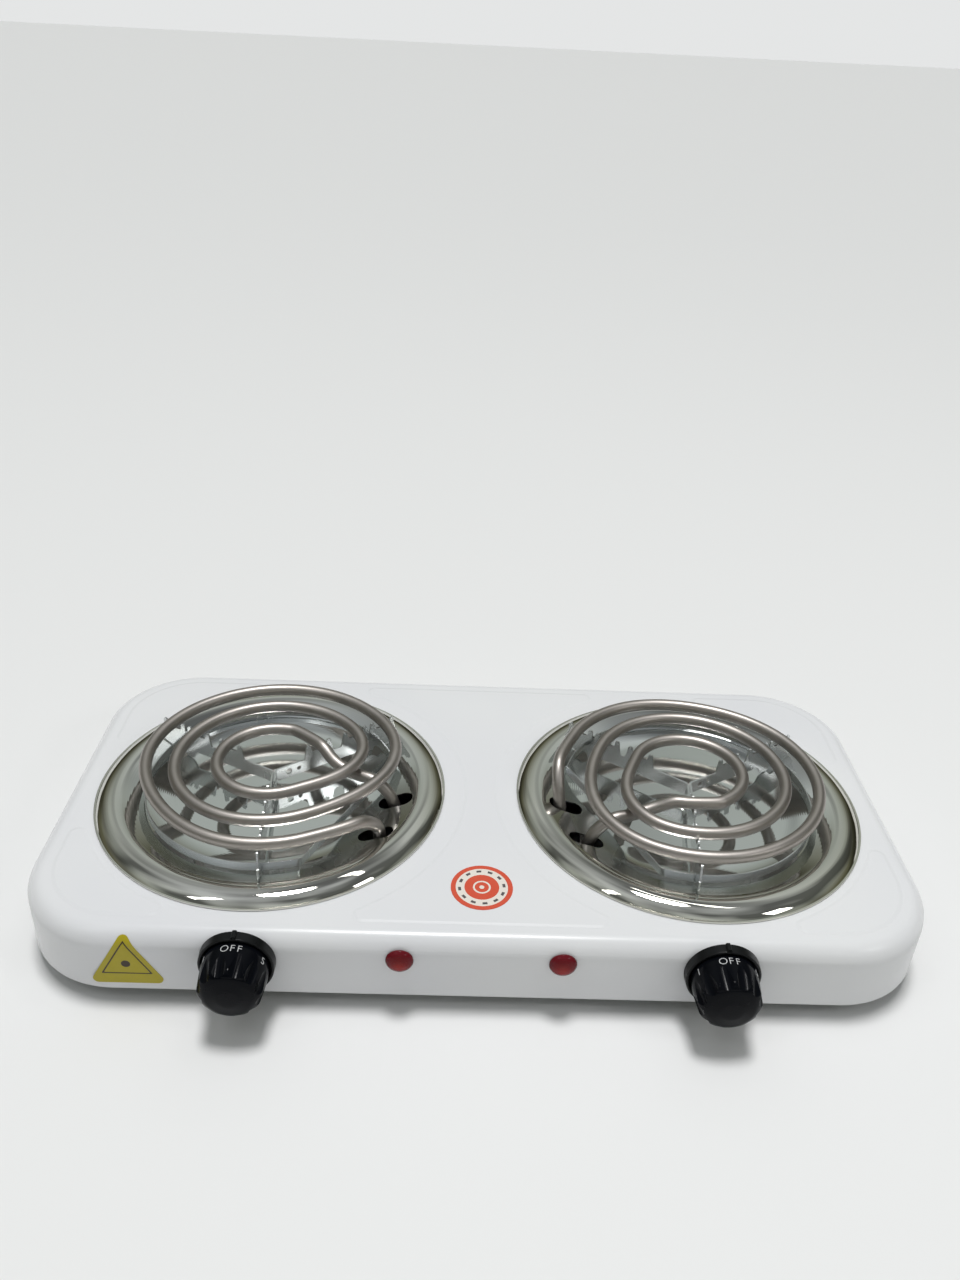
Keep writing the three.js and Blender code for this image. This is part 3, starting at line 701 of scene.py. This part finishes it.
def select(piece, kind, test):
    """Edit mode, with only the edges or faces selected whose every corner passes the test."""
    edit(piece, "DESELECT")
    bpy.ops.mesh.select_mode(type={"edges": "EDGE", "polygons": "FACE"}[kind])
    bpy.ops.object.mode_set(mode="OBJECT")
    mesh = piece.data
    for element in getattr(mesh, kind):
        element.select = all(test(mesh.vertices[i].co / MM) for i in element.vertices)
    bpy.ops.object.mode_set(mode="EDIT")


# ---- housing ----
PANEL_INSET = 11.5
PANEL_TIP_R = 5
CORNER_PANEL_CLEAR = 95.5  # from the pan's centre to the corner panels
MIDDLE_PANEL_CLEAR = 102.5  # and to the panel between the pans
PANEL_STEPS = [(0.6, 0.05), (1.0, 0.32), (0.6, 0.06)]  # inset and rise of each step of the slope
PANEL_RISE = sum(rise for _, rise in PANEL_STEPS) + 0.02
GLAND = middle_of("cable_gland")
LAMP_HOLE_R = 5.3
SHAFT_HOLE_R = 5.2
GLAND_HOLE_R = 6.2
SCREW_HOLE_R = 1.7


def arc(centre, radius, start, end, steps):
    """Points on an arc from the start angle to the end angle, in degrees."""
    angles = [math.radians(start + (end - start) * i / steps) for i in range(steps + 1)]
    return [(centre[0] + radius * math.cos(a), centre[1] + radius * math.sin(a)) for a in angles]


def heading(start, end):
    return math.degrees(math.atan2(end[1] - start[1], end[0] - start[0]))


def corner_panel(right, rear):
    """A panel between a corner of the housing and the pan next to it; right and rear are 1 or -1."""
    pan = PAN_CENTRE["right"]
    reach_x = LENGTH / 2 - PANEL_INSET - pan.x
    reach_y = DEPTH / 2 - PANEL_INSET + (HOUSING_Y - pan.y) * rear
    clear_r = CORNER_PANEL_CLEAR + PANEL_TIP_R
    tip_a = (math.sqrt(clear_r**2 - (reach_y - PANEL_TIP_R) ** 2), reach_y - PANEL_TIP_R)
    tip_b = (reach_x - PANEL_TIP_R, math.sqrt(clear_r**2 - (reach_x - PANEL_TIP_R) ** 2))
    turn_a, turn_b = heading((0, 0), tip_a), heading((0, 0), tip_b)
    corner_r = CORNER_R - PANEL_INSET
    points = [
        *arc((reach_x - corner_r, reach_y - corner_r), corner_r, 0, 90, 16),
        *arc(tip_a, PANEL_TIP_R, 90, 180 + turn_a, 14),
        *arc((0, 0), CORNER_PANEL_CLEAR, turn_a, turn_b, 16)[1:-1],
        *arc(tip_b, PANEL_TIP_R, 180 + turn_b, 360, 14),
    ]
    if right * rear < 0:
        points.reverse()
    return [(right * (pan.x + x), pan.y + rear * y) for x, y in points]


def middle_panel():
    """The panel between the pans, with a waist."""
    pan = PAN_CENTRE["right"]
    clear_r = MIDDLE_PANEL_CLEAR + PANEL_TIP_R
    turns = []
    tips = []
    for rear in (-1, 1):
        y = HOUSING_Y + rear * (DEPTH / 2 - PANEL_INSET - PANEL_TIP_R)
        tips.append((pan.x - math.sqrt(clear_r**2 - (y - pan.y) ** 2), y))
        turns.append(heading(tips[-1], pan))
    side = [
        *arc(tips[0], PANEL_TIP_R, -90, turns[0], 14),
        *arc(pan, MIDDLE_PANEL_CLEAR, 180 + turns[0], 180 + turns[1], 24)[1:-1],
        *arc(tips[1], PANEL_TIP_R, turns[1], 90, 14),
    ]
    return [*side, *[(-x, y) for x, y in reversed(side)]]


def make_panel(outline):
    """A raised panel with a soft slope round it, pressed into the top."""
    flush = TOP_Z + 0.02
    panel = slab("panel", outline, TOP_Z - 0.5, flush)
    height = flush
    for inset, rise in PANEL_STEPS:
        select(panel, "polygons", lambda place: place.z > height - 0.005)
        bpy.ops.mesh.inset(thickness=inset * MM, depth=rise * MM)
        height += rise
    return panel


def make_panels():
    corners = [corner_panel(right, rear) for right in (-1, 1) for rear in (-1, 1)]
    return [make_panel(outline) for outline in [middle_panel(), *corners]]


def inner_outline(inset):
    length, depth = LENGTH - 2 * inset, DEPTH - 2 * inset
    return rounded_rectangle(length, depth, CORNER_R - inset, 24, (0, HOUSING_Y))


def drill(radius, vertices):
    """A cutter for a round hole, standing through Z 0."""
    return rod("hole", radius, -4, 4, vertices)


def housing_holes():
    holes = []
    for name, side in SIDES.items():
        pan = PAN_CENTRE[name]
        holes.append(settle(drill(PAN_HOLE_R, 144), move=(pan.x, pan.y, TOP_Z)))
        knob = KNOB_CENTRE[name]
        holes.append(outward(drill(SHAFT_HOLE_R, 32), (knob.x, FRONT_Y, KNOB_Z)))
        for end in (-THERMOSTAT_SCREW_X, THERMOSTAT_SCREW_X):
            holes.append(outward(drill(SCREW_HOLE_R, 16), (knob.x + end, FRONT_Y, KNOB_Z)))
        lamp = middle_of("lamp_lens_" + name)
        holes.append(outward(drill(LAMP_HOLE_R, 32), (lamp.x, FRONT_Y, lamp.z)))
    holes.append(outward(drill(GLAND_HOLE_R, 32), (GLAND.x, REAR_Y, GLAND.z)))
    for place in PLACES:
        screw = middle_of("plate_screw_" + place)
        holes.append(settle(drill(SCREW_HOLE_R, 16), move=(screw.x, screw.y, HEM_Z)))
    return holes


def model_block(inset, low, high):
    """The housing's block with its rounded top edge, drawn in by inset all round."""
    block = slab("housing_shell", inner_outline(inset), low, high)
    select(block, "edges", lambda place: place.z > high - 0.01)
    bpy.ops.mesh.bevel(offset=(TOP_FILLET - inset) * MM, segments=10, affect="EDGES")
    return block


def make_housing():
    """Pressed sheet: the block, hollowed to the sheet's thickness and open below inside the hem."""
    shell = weld(model_block(0, HEM_Z, TOP_Z), *make_panels())
    carve(shell, model_block(SHEET, HEM_Z + SHEET, TOP_Z - SHEET))
    carve(shell, slab("opening", inner_outline(FLANGE), HEM_Z - 1, HEM_Z + SHEET + 1))
    carve(shell, *housing_holes())
    smooth(shell, 40)
    return finish(shell, enamel_paint(), "housing_enamel", "base", "housing")


# ---- drip pans ----
SCREW_CLEAR_R = 2.3  # the hole for the screw in the middle of the pan
BEAD_R = 13
BEAD_CREST = (81.5, TOP_Z + 5.1)
DISH_SLOPE = 20  # degrees, from the floor up to the bead
RIM_SLOPE = 47  # degrees, where the bead ends
RIM_FROM = 91.1


def pan_profile():
    """Closed section of the pan: floor, dished side, round bead and flat rim, as thick as the sheet."""
    r, z = BEAD_CREST
    bead = arc((r, z - BEAD_R), BEAD_R, 90 + DISH_SLOPE, 90 - RIM_SLOPE, 22)
    run = (bead[0][1] - PAN_FLOOR_Z) / math.tan(math.radians(DISH_SLOPE))
    dish = rounded([(SCREW_CLEAR_R, PAN_FLOOR_Z), (bead[0][0] - run, PAN_FLOOR_Z), bead[0]], [0, 40, 0], 14)
    rim = TOP_Z + GAP + PAN_SHEET
    upper = [*[(p[0], p[1]) for p in dish[:-1]], *bead, (RIM_FROM, rim), (PAN_R, rim)]
    lower = [(r, z - PAN_SHEET) for r, z in reversed(upper)]
    return [*upper, *lower, upper[0]]


def make_drip_pan(name):
    centre = PAN_CENTRE[name]
    pan = lathe("polished_pan_" + name, pan_profile(), 144)
    for x, y in SLOTS:
        place = (-SIDES[name] * x, y)
        outline = rounded_rectangle(SLOT_LENGTH, SLOT_WIDTH, SLOT_WIDTH / 2 - 0.05, 10, place)
        carve(pan, slab("cutter", outline, PAN_FLOOR_Z - 3, PAN_FLOOR_Z + 9))
    settle(pan, move=(centre.x, centre.y, 0))
    smooth(pan, 40)
    return finish(pan, chrome_paint(centre), "pan_chrome", "base", "drip_pan_" + name)


# ---- heating coils ----
# Ends of the left coil about its pan centre, with heights above the housing's top.
OUTER_TERMINAL = [
    (59.7, -36.2, -13),
    (59.7, -36.2, -6),
    (59.6, -36.4, -1),
    (58.9, -38.4, 6.5),
    (56.4, -42.6, 13),
    (51.8, -47.6, 17.8),
    (44.5, -53, 19),
]
INNER_TERMINAL = [
    (20.5, 17.4, 19),
    (26, 11.7, 18.5),
    (32, 5.9, 14.5),
    (39.5, 1.5, 11.6),
    (46, -1.2, 10.8),
    (52.5, -3.8, 10.7),
    (58, -6, 8.4),
    (62.7, -7.9, 3.5),
    (65.4, -9, -2.5),
    (66, -9.2, -7),
    (66, -9.2, -13),
]


FLAT_AT = -145  # degrees along the spiral: the outer turn is a little flattened there
FLAT_WIDTH = 38
FLAT_DEPTH = 4
CLOSING_AT = -890  # and the inner turn draws in
CLOSING_WIDTH = 260
CLOSING_DEPTH = 2


def ease(x):
    """0 below -0.5, 1 above 0.5, and smooth between."""
    t = min(max(x + 0.5, 0), 1)
    return t * t * t * (t * (6 * t - 15) + 10)


def coil_radius(angle):
    radius = TURN_R[0]
    for at, inner, outer in zip(STEP_AT, TURN_R[1:], TURN_R):
        radius += ease((at - angle) / STEP_WIDTH) * (inner - outer)
    flat = FLAT_DEPTH * math.exp(-(((angle - FLAT_AT) / FLAT_WIDTH) ** 2))
    closing = CLOSING_DEPTH * ease((CLOSING_AT - angle) / CLOSING_WIDTH)
    return radius - flat - closing


def smooth_path(points, steps):
    """A Catmull-Rom curve through the points, with that many steps between each two."""
    corners = [Vector(point) for point in points]
    ends = [2 * corners[0] - corners[1], *corners, 2 * corners[-1] - corners[-2]]
    made = []
    for before, start, end, after in zip(ends, ends[1:], ends[2:], ends[3:]):
        for k in range(steps):
            t = k / steps
            made.append(
                0.5
                * (
                    2 * start
                    + (end - before) * t
                    + (2 * before - 5 * start + 4 * end - after) * t**2
                    + (3 * start - before - 3 * end + after) * t**3
                )
            )
    return [*made, corners[-1]]


def coil_path():
    spiral = []
    for angle in range(SPIRAL_FROM, SPIRAL_TO - 1, -12):
        ray = math.radians(angle)
        radius = coil_radius(angle)
        spiral.append((radius * math.cos(ray), radius * math.sin(ray), COIL_Z))
    outer = [(x, y, TOP_Z + z) for x, y, z in OUTER_TERMINAL]
    inner = [(x, y, TOP_Z + z) for x, y, z in INNER_TERMINAL]
    path = smooth_path([*outer, *spiral, *inner], 4)
    return [(x, y, min(z, COIL_Z)) for x, y, z in path]


def make_coil(name, paint):
    centre = PAN_CENTRE[name]
    coil = wire("heater_tube_" + name, coil_path())
    only(coil)
    bpy.ops.object.convert(target="CURVE")
    coil.data.bevel_depth = TUBE_R * MM
    coil.data.bevel_resolution = 8
    coil.data.use_fill_caps = True
    bpy.ops.object.convert(target="MESH")
    edit(coil)
    tidy_mesh()
    settle(coil, (0, 0, COIL_TURN[name]), (centre.x, centre.y, 0))
    smooth(coil, 50)
    return finish(coil, paint, "coil_sheath", "base", "heating_coil_" + name)


# ---- leg supports ----
LEG_END = 76.6
HOOP_LOW = TOP_Z + 1.6
HOOP_HIGH = TOP_Z + 6.4
HOOP_NOTCH = 1.2  # half the width of the notch that the hoop passes through
LEG_FOOT = [(53, LEG_LOW), (55, PAN_FLOOR_Z + 1.1), (60, PAN_FLOOR_Z + 1.1), (62, LEG_LOW)]
LEG_RISE = [(68.5, TOP_Z + 2.4), (70.5, TOP_Z + 3), (LEG_END, TOP_Z + 5.2)]


def leg_outline(start, crossings):
    """The side of one leg: x runs outwards from the pan centre, y is the height."""
    seat = COIL_Z - TUBE_R - 2 * GAP
    prong = [
        (SEAT_HALF + PRONG + 0.9, LEG_TOP),
        (SEAT_HALF + PRONG - 0.2, PRONG_TIP - 3),
        (SEAT_HALF + PRONG - 0.4, PRONG_TIP),
        (SEAT_HALF - 0.1, PRONG_TIP),
        (SEAT_HALF - 0.5, seat),
    ]
    notch = [
        (HOOP_R - HOOP_NOTCH, LEG_LOW),
        (HOOP_R - HOOP_NOTCH, HOOP_HIGH + GAP),
        (HOOP_R + HOOP_NOTCH, HOOP_HIGH + GAP),
        (HOOP_R + HOOP_NOTCH, LEG_LOW),
    ]
    points = [(start, LEG_LOW), *LEG_FOOT, *notch, *LEG_RISE, (LEG_END, LEG_TOP)]
    for r in sorted(crossings, reverse=True):
        points += [(r + along, height) for along, height in prong]
        points += [(r - along, height) for along, height in reversed(prong)]
    points.append((start, LEG_TOP))
    return rounded(points, 1.25, 3, closed=True)


def crossing_radii(angle, turn):
    """Where a leg at that angle meets the coil's turns."""
    passes = [angle - turn + lap * 360 for lap in (1, 0, -1, -2, -3)]
    return [coil_radius(a) for a in passes if SPIRAL_TO - 50 <= a <= SPIRAL_FROM + 20]


def make_leg(start, angle, turn):
    outline = leg_outline(start, crossing_radii(angle, turn))
    leg = slab("leg", outline, -LEG_T / 2, LEG_T / 2)
    settle(leg, (90, 0, 0))
    return settle(leg, (0, 0, angle))


def make_supports(name, paint):
    centre = PAN_CENTRE[name]
    turn = COIL_TURN[name]
    rear, front, single = LEG_ANGLES[name]
    strip = weld(make_leg(-0.4, rear, turn), make_leg(-0.4, front, turn))
    strip.name = strip.data.name = "folded_strip_" + name
    leg = make_leg(1.6, single, turn)
    for along, radius in ((9, 1.9), (15, 1.3)):
        hole = settle(rod("hole", radius, -3, 3, 24), (90, 0, 0), (along, 0, (LEG_LOW + LEG_TOP) / 2))
        carve(leg, settle(hole, (0, 0, single)))
    tab_outline = [(-1.2, 0.9), (9, 0.9), (9, 1.9), (-1.2, 1.9)]
    tab = settle(slab("tab", tab_outline, LEG_LOW, LEG_TOP), (0, 0, front))
    weld(leg, tab)
    leg.name = leg.data.name = "single_leg_" + name
    nodes = {strip: "support_strip_", leg: "support_leg_"}
    for piece, node in nodes.items():
        bevelled(settle(piece, move=(centre.x, centre.y, 0)), 0.12, 2, 50)
        smooth(piece, 40)
        finish(piece, paint, "support_zinc", "base", node + name)


def make_hoop(name, paint):
    """A thin strip on edge, bent to a ring with one straight side."""
    centre = PAN_CENTRE[name]
    start = HOOP_ARC_FROM[name]

    def ring(radius):
        return arc((0, 0), radius, start, start + HOOP_ARC, 96)

    hoop = slab("hoop_strip_" + name, ring(HOOP_R + HOOP_T / 2), HOOP_LOW, HOOP_HIGH)
    carve(hoop, slab("cutter", ring(HOOP_R - HOOP_T / 2), HOOP_LOW - 1, HOOP_HIGH + 1))
    bevelled(settle(hoop, move=(centre.x, centre.y, 0)), 0.1, 2, 50)
    smooth(hoop, 40)
    return finish(hoop, paint, "support_zinc", "base", "support_hoop_" + name)


def make_pan_screw(name, paint):
    """A domed screw head with a cross recess, in the middle of the pan."""
    centre = PAN_CENTRE[name]
    seat = PAN_FLOOR_Z + GAP
    corners = [(0, 3.0), (1.6, 2.95), (3.6, 2.3), (4.4, 0.9), (4.4, 0), (1.9, 0), (1.9, -8), (0, -8)]
    head = lathe("cross_head_screw_" + name, rounded(corners, [0, 2, 2, 0.8, 0.15, 0.3, 0.3, 0], 4), 48)
    for turn in (20, 110):
        outline = rounded_rectangle(4.6, 0.95, 0.3, 3)
        carve(head, settle(slab("cutter", outline, 1.5, 4), (0, 0, turn)))
    bevelled(head, 0.08, 2, 40)
    smooth(settle(head, move=(centre.x, centre.y, seat)), 40)
    return finish(head, paint, "screw_bright", "base", "pan_screw_" + name)


# ---- knobs, bezels and lamps ----
KNOB_BACK = 1.8
BORE_R = 3.3
BORE_DEPTH = 15
FLUTES = 12
FLUTE_R = 5
FLUTE_FROM = 11  # reach at which the flutes start
FLUTE_TO = 20
FLUTE_DEPTH = 2.35  # at that reach, where the knob is narrower too
MARK_REACH = 8.4  # middle of the lettering in front of the wall
MARK_SIZE = 5.2
MARK_RAISE = 0.05
MARK_THINNING = -0.07
OFF_ANGLES = (-12.5, 1.0, 13.0)
MARK_ANGLES = {"1": -60, "2": -120, "3": 180, "4": 120, "5": 60}


def knob_profile():
    """From the middle of the domed front, over the rim to the hollow rear and the shaft's bore."""
    corners = [(0, 24), (5, 23.75), (11.2, 22.6), (14.4, 20.4), (KNOB_R, 9), (KNOB_R, KNOB_BACK)]
    outside = rounded(corners, [0, 12, 6, 4.5, 30, 0], 6)
    rear = [(13.8, KNOB_BACK), (13.0, 6.8), (5, 6.8), (5, KNOB_BACK), (BORE_R, KNOB_BACK)]
    return [*outside, *rear, (BORE_R, BORE_DEPTH), (0, BORE_DEPTH)]


def model_knob():
    knob = lathe("grip", knob_profile(), 144)
    tilt = math.degrees(math.atan(FLUTE_DEPTH / (FLUTE_TO - FLUTE_FROM)))
    axis = KNOB_R + FLUTE_R - FLUTE_DEPTH / 2
    for i in range(FLUTES):
        cutter = settle(rod("cutter", FLUTE_R, -16, 16, 144), (0, -tilt, 0))
        settle(cutter, move=(axis, 0, (FLUTE_FROM + FLUTE_TO) / 2))
        carve(knob, settle(cutter, (0, 0, 360 / FLUTES * (i + 0.5))))
    return smooth(bevelled(knob, 0.3, 3, 20), 50)


def make_letter(letter, angle):
    """One raised letter, standing on the grip with its head towards the wall."""
    clear()
    bpy.ops.object.text_add()
    mark = bpy.context.object
    mark.data.body = letter
    mark.data.size = MARK_SIZE * MM
    mark.data.extrude = MARK_RAISE * MM
    mark.data.offset = MARK_THINNING * MM
    mark.data.align_x = "CENTER"
    mark.data.align_y = "CENTER"
    mark.data.resolution_u = 6
    bpy.ops.object.convert(target="MESH")
    edit(mark)
    tidy_mesh()
    settle(mark, (-90, 0, 0), (0, KNOB_R + 0.01, MARK_REACH))
    return settle(mark, (0, 0, -angle))


def make_marks(name, paint):
    letters = [make_letter(letter, turn) for letter, turn in zip("OFF", OFF_ANGLES)]
    letters += [make_letter(letter, turn) for letter, turn in MARK_ANGLES.items()]
    clear()
    for letter in letters:
        letter.select_set(True)
    bpy.context.view_layer.objects.active = letters[0]
    bpy.ops.object.join()
    marks = bpy.context.object
    marks.name = marks.data.name = "dial_marks_" + name
    centre = KNOB_CENTRE[name]
    outward(marks, (centre.x, FRONT_Y, KNOB_Z))
    return finish(marks, paint, "knob_black", "knob_" + name)


def model_bezel():
    corners = [
        (6, GAP),
        (BEZEL_R, GAP),
        (BEZEL_R - 0.2, BEZEL_DEPTH),
        (BEZEL_R - 1.5, BEZEL_DEPTH),
        (BEZEL_R - 1.7, 1.2),
        (6, 1.2),
    ]
    section = rounded(corners, [0.1, 0.4, 0.5, 0.4, 0.3, 0.1], 4, closed=True)
    bezel = lathe("ring", [*section, section[0]], 120)
    tick = slab("tick", rounded_rectangle(2.2, 2.6, 0.7, 5, (0, BEZEL_R - 0.2)), 0.8, BEZEL_DEPTH - 0.25)
    weld(bezel, tick)
    for end in (-THERMOSTAT_SCREW_X, THERMOSTAT_SCREW_X):
        carve(bezel, settle(rod("hole", SCREW_HOLE_R, -2, 4, 24), move=(end, 0, 0)))
    return smooth(bevelled(bezel, 0.15, 2, 45), 45)


def copy_of(piece, name):
    twin = piece.copy()
    twin.data = piece.data.copy()
    twin.name = twin.data.name = name
    bpy.context.scene.collection.objects.link(twin)
    return twin


def make_knobs(paint, bezel_paint, ink):
    grip = model_knob()
    ring = model_bezel()
    for name, centre in KNOB_CENTRE.items():
        wall = (centre.x, FRONT_Y, KNOB_Z)
        knob = outward(copy_of(grip, "fluted_knob_" + name), wall)
        finish(knob, paint, "knob_black", "knob_" + name, "knob_" + name)
        bezel = outward(copy_of(ring, "bezel_ring_" + name), wall)
        finish(bezel, bezel_paint, "knob_black", "base", "knob_bezel_" + name)
        make_marks(name, ink)
    for model in (grip, ring):
        bpy.data.objects.remove(model)


def make_lens(name):
    node = "lamp_lens_" + name
    low, high = (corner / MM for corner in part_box(node))
    centre = Vector(((low.x + high.x) / 2, FRONT_Y, (low.z + high.z) / 2))
    reach = FRONT_Y - low.y
    corners = [(0, reach), (3.2, reach - 0.35), (5.4, reach - 1.5), (6.4, 1.1), (6.4, GAP)]
    dome = rounded(corners, [0, 6, 3.5, 1.2, 0], 6)
    barrel = [(4.8, GAP), (4.8, -9), (3.7, -9), (3.7, 0.6), (0, 1.4)]
    lens = lathe("domed_lens_" + name, [*dome, *barrel], 72)
    outward(lens, centre)
    smooth(lens, 45)
    return finish(lens, lens_paint(centre), "lens_red", "base", node)


# ---- labels, feet and gland ----
DISC_R = 15
DISC_T = 0.16
TRIANGLE_HALF = 18
TRIANGLE_HEIGHT = 31.2
LABEL_LOW = 11.8


def make_disc_label():
    centre = middle_of("top_label")
    low = TOP_Z + PANEL_RISE + 0.02
    profile = rounded([(0, DISC_T), (DISC_R, DISC_T), (DISC_R, 0), (0, 0)], [0, 0.06, 0.02, 0], 3)
    label = settle(lathe("disc_label", profile, 96), move=(centre.x, centre.y, low))
    smooth(label, 40)
    return finish(label, disc_label_paint(centre), "label_red", "base", "top_label")


def make_triangle_label():
    """A thin sheet on the front wall, whose tip follows the rounded edge of the top."""
    x = middle_of("front_label").x
    low = Vector((x, FRONT_Y, LABEL_LOW))
    corners = [(-TRIANGLE_HALF, 0), (TRIANGLE_HALF, 0), (0, TRIANGLE_HEIGHT)]
    outline = rounded(corners, 2.6, 8, closed=True)
    label = slab("triangle_label", outline, 0.04, 0.19)
    for height in range(19, 29):
        edit(label)
        bpy.ops.mesh.bisect(plane_co=(0, height * MM, 0), plane_no=(0, 1, 0))
    clear()
    bend_from = TOP_Z - TOP_FILLET - LABEL_LOW
    for vertex in label.data.vertices:
        along, out = vertex.co.y / MM, vertex.co.z / MM
        turn = max(0, along - bend_from) / TOP_FILLET
        reach = TOP_FILLET + out
        vertex.co.y = (min(along, bend_from) + reach * math.sin(turn)) * MM
        vertex.co.z = (reach * math.cos(turn) - TOP_FILLET) * MM
    outward(label, low)
    smooth(label, 40)
    return finish(label, triangle_label_paint(low), "label_yellow", "base", "front_label")


def make_feet(paint):
    low, high = (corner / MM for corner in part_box("foot_front_left"))
    height = high.z - low.z
    corners = [(2, height), (2, 3.6), (4.7, 3.6), (4.7, 0), (8.6, 0), (9, 1.4), (7.8, height)]
    section = rounded(corners, [0.1, 0.2, 0.3, 0.4, 0.9, 0.8, 0.4], 4, closed=True)
    model = smooth(lathe("foot", [*section, section[0]], 64), 40)
    for place in PLACES:
        centre = middle_of("foot_" + place)
        foot = settle(copy_of(model, "rubber_foot_" + place), move=(centre.x, centre.y, 0))
        finish(foot, paint, "foot_rubber", "base", "foot_" + place)
    bpy.data.objects.remove(model)


def make_gland(paint):
    """A grommet in the rear wall, with a ribbed collar."""
    low, high = (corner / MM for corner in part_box("cable_gland"))
    reach = high.y - REAR_Y
    corners = [(3.8, -9), (5.9, -9), (5.9, GAP), (9, GAP), (9, 1.8), (6.6, reach), (3.8, reach)]
    section = rounded(corners, [0.3, 0.4, 0.1, 0.4, 0.9, 0.7, 0.5], 5, closed=True)
    gland = lathe("cable_grommet", [*section, section[0]], 72)
    for i in range(18):
        notch = settle(rod("cutter", 0.5, -2, 6, 12), move=(9.1, 0, 1))
        carve(gland, settle(notch, (0, 0, 20 * i)))
    settle(gland, (-90, 0, 0), (GLAND.x, REAR_Y, GLAND.z))
    smooth(gland, 40)
    return finish(gland, paint, "foot_rubber", "base", "cable_gland")


# ---- the CAD nodes that show as they are ----
def paint_frame():
    plain_zinc = zinc_paint("zinc_hardware", (0.60, 0.62, 0.63), 0.28, 0.45)
    galvanised = zinc_paint("galvanised_sheet", (0.56, 0.58, 0.59), 0.32, 0.5, 35)
    ceramic = plastic_paint("unglazed_ceramic", (0.72, 0.67, 0.58), 0.55, 0.75, 900, 0.00008)
    phenolic = plastic_paint("brown_phenolic", (0.085, 0.045, 0.03), 0.3, 0.5)
    sleeve = sleeve_paint()
    glass = glass_paint()
    paints = {
        "foot_screw": plain_zinc,
        "plate_screw": plain_zinc,
        "terminal_block_screw": plain_zinc,
        "thermostat_screw": plain_zinc,
        "thermostat_shaft": plain_zinc,
        "pan_clamp": plain_zinc,
        "bottom_plate": galvanised,
        "terminal_bead": ceramic,
        "terminal_block": ceramic,
        "thermostat": phenolic,
        "wire": sleeve,
        "neon_lamp": glass,
    }
    for name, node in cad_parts.items():
        starts = [start for start in paints if name.startswith(start)]
        if starts:
            node.data.materials.clear()
            node.data.materials.append(paints[max(starts, key=len)].material)


add_camera()
add_lights()
add_room()
add_floor()

sheath = sheath_paint()
strip_zinc = zinc_paint("bright_zinc_strip", (0.74, 0.76, 0.76), 0.25, 0.28, 45)
bright_screw = zinc_paint("bright_screw", (0.76, 0.76, 0.75), 0.08, 0.2)
gloss_black = plastic_paint("gloss_black_grip", (0.002, 0.0025, 0.004), 0.1, 0.2, 600, 0.000005, 0.08)
satin_black = plastic_paint("satin_black_ring", (0.004, 0.0045, 0.005), 0.25, 0.38, 600, 0.00002, 0.2)
rubber = plastic_paint("black_rubber", (0.012, 0.012, 0.012), 0.6, 0.8, 800, 0.00006)

make_housing()
for side in SIDES:
    make_drip_pan(side)
    make_coil(side, sheath)
    make_supports(side, strip_zinc)
    make_hoop(side, strip_zinc)
    make_pan_screw(side, bright_screw)
    make_lens(side)
make_knobs(gloss_black, satin_black, ink_paint())
make_disc_label()
make_triangle_label()
make_feet(rubber)
make_gland(rubber)
paint_frame()
clear()

bpy.context.view_layer.update()
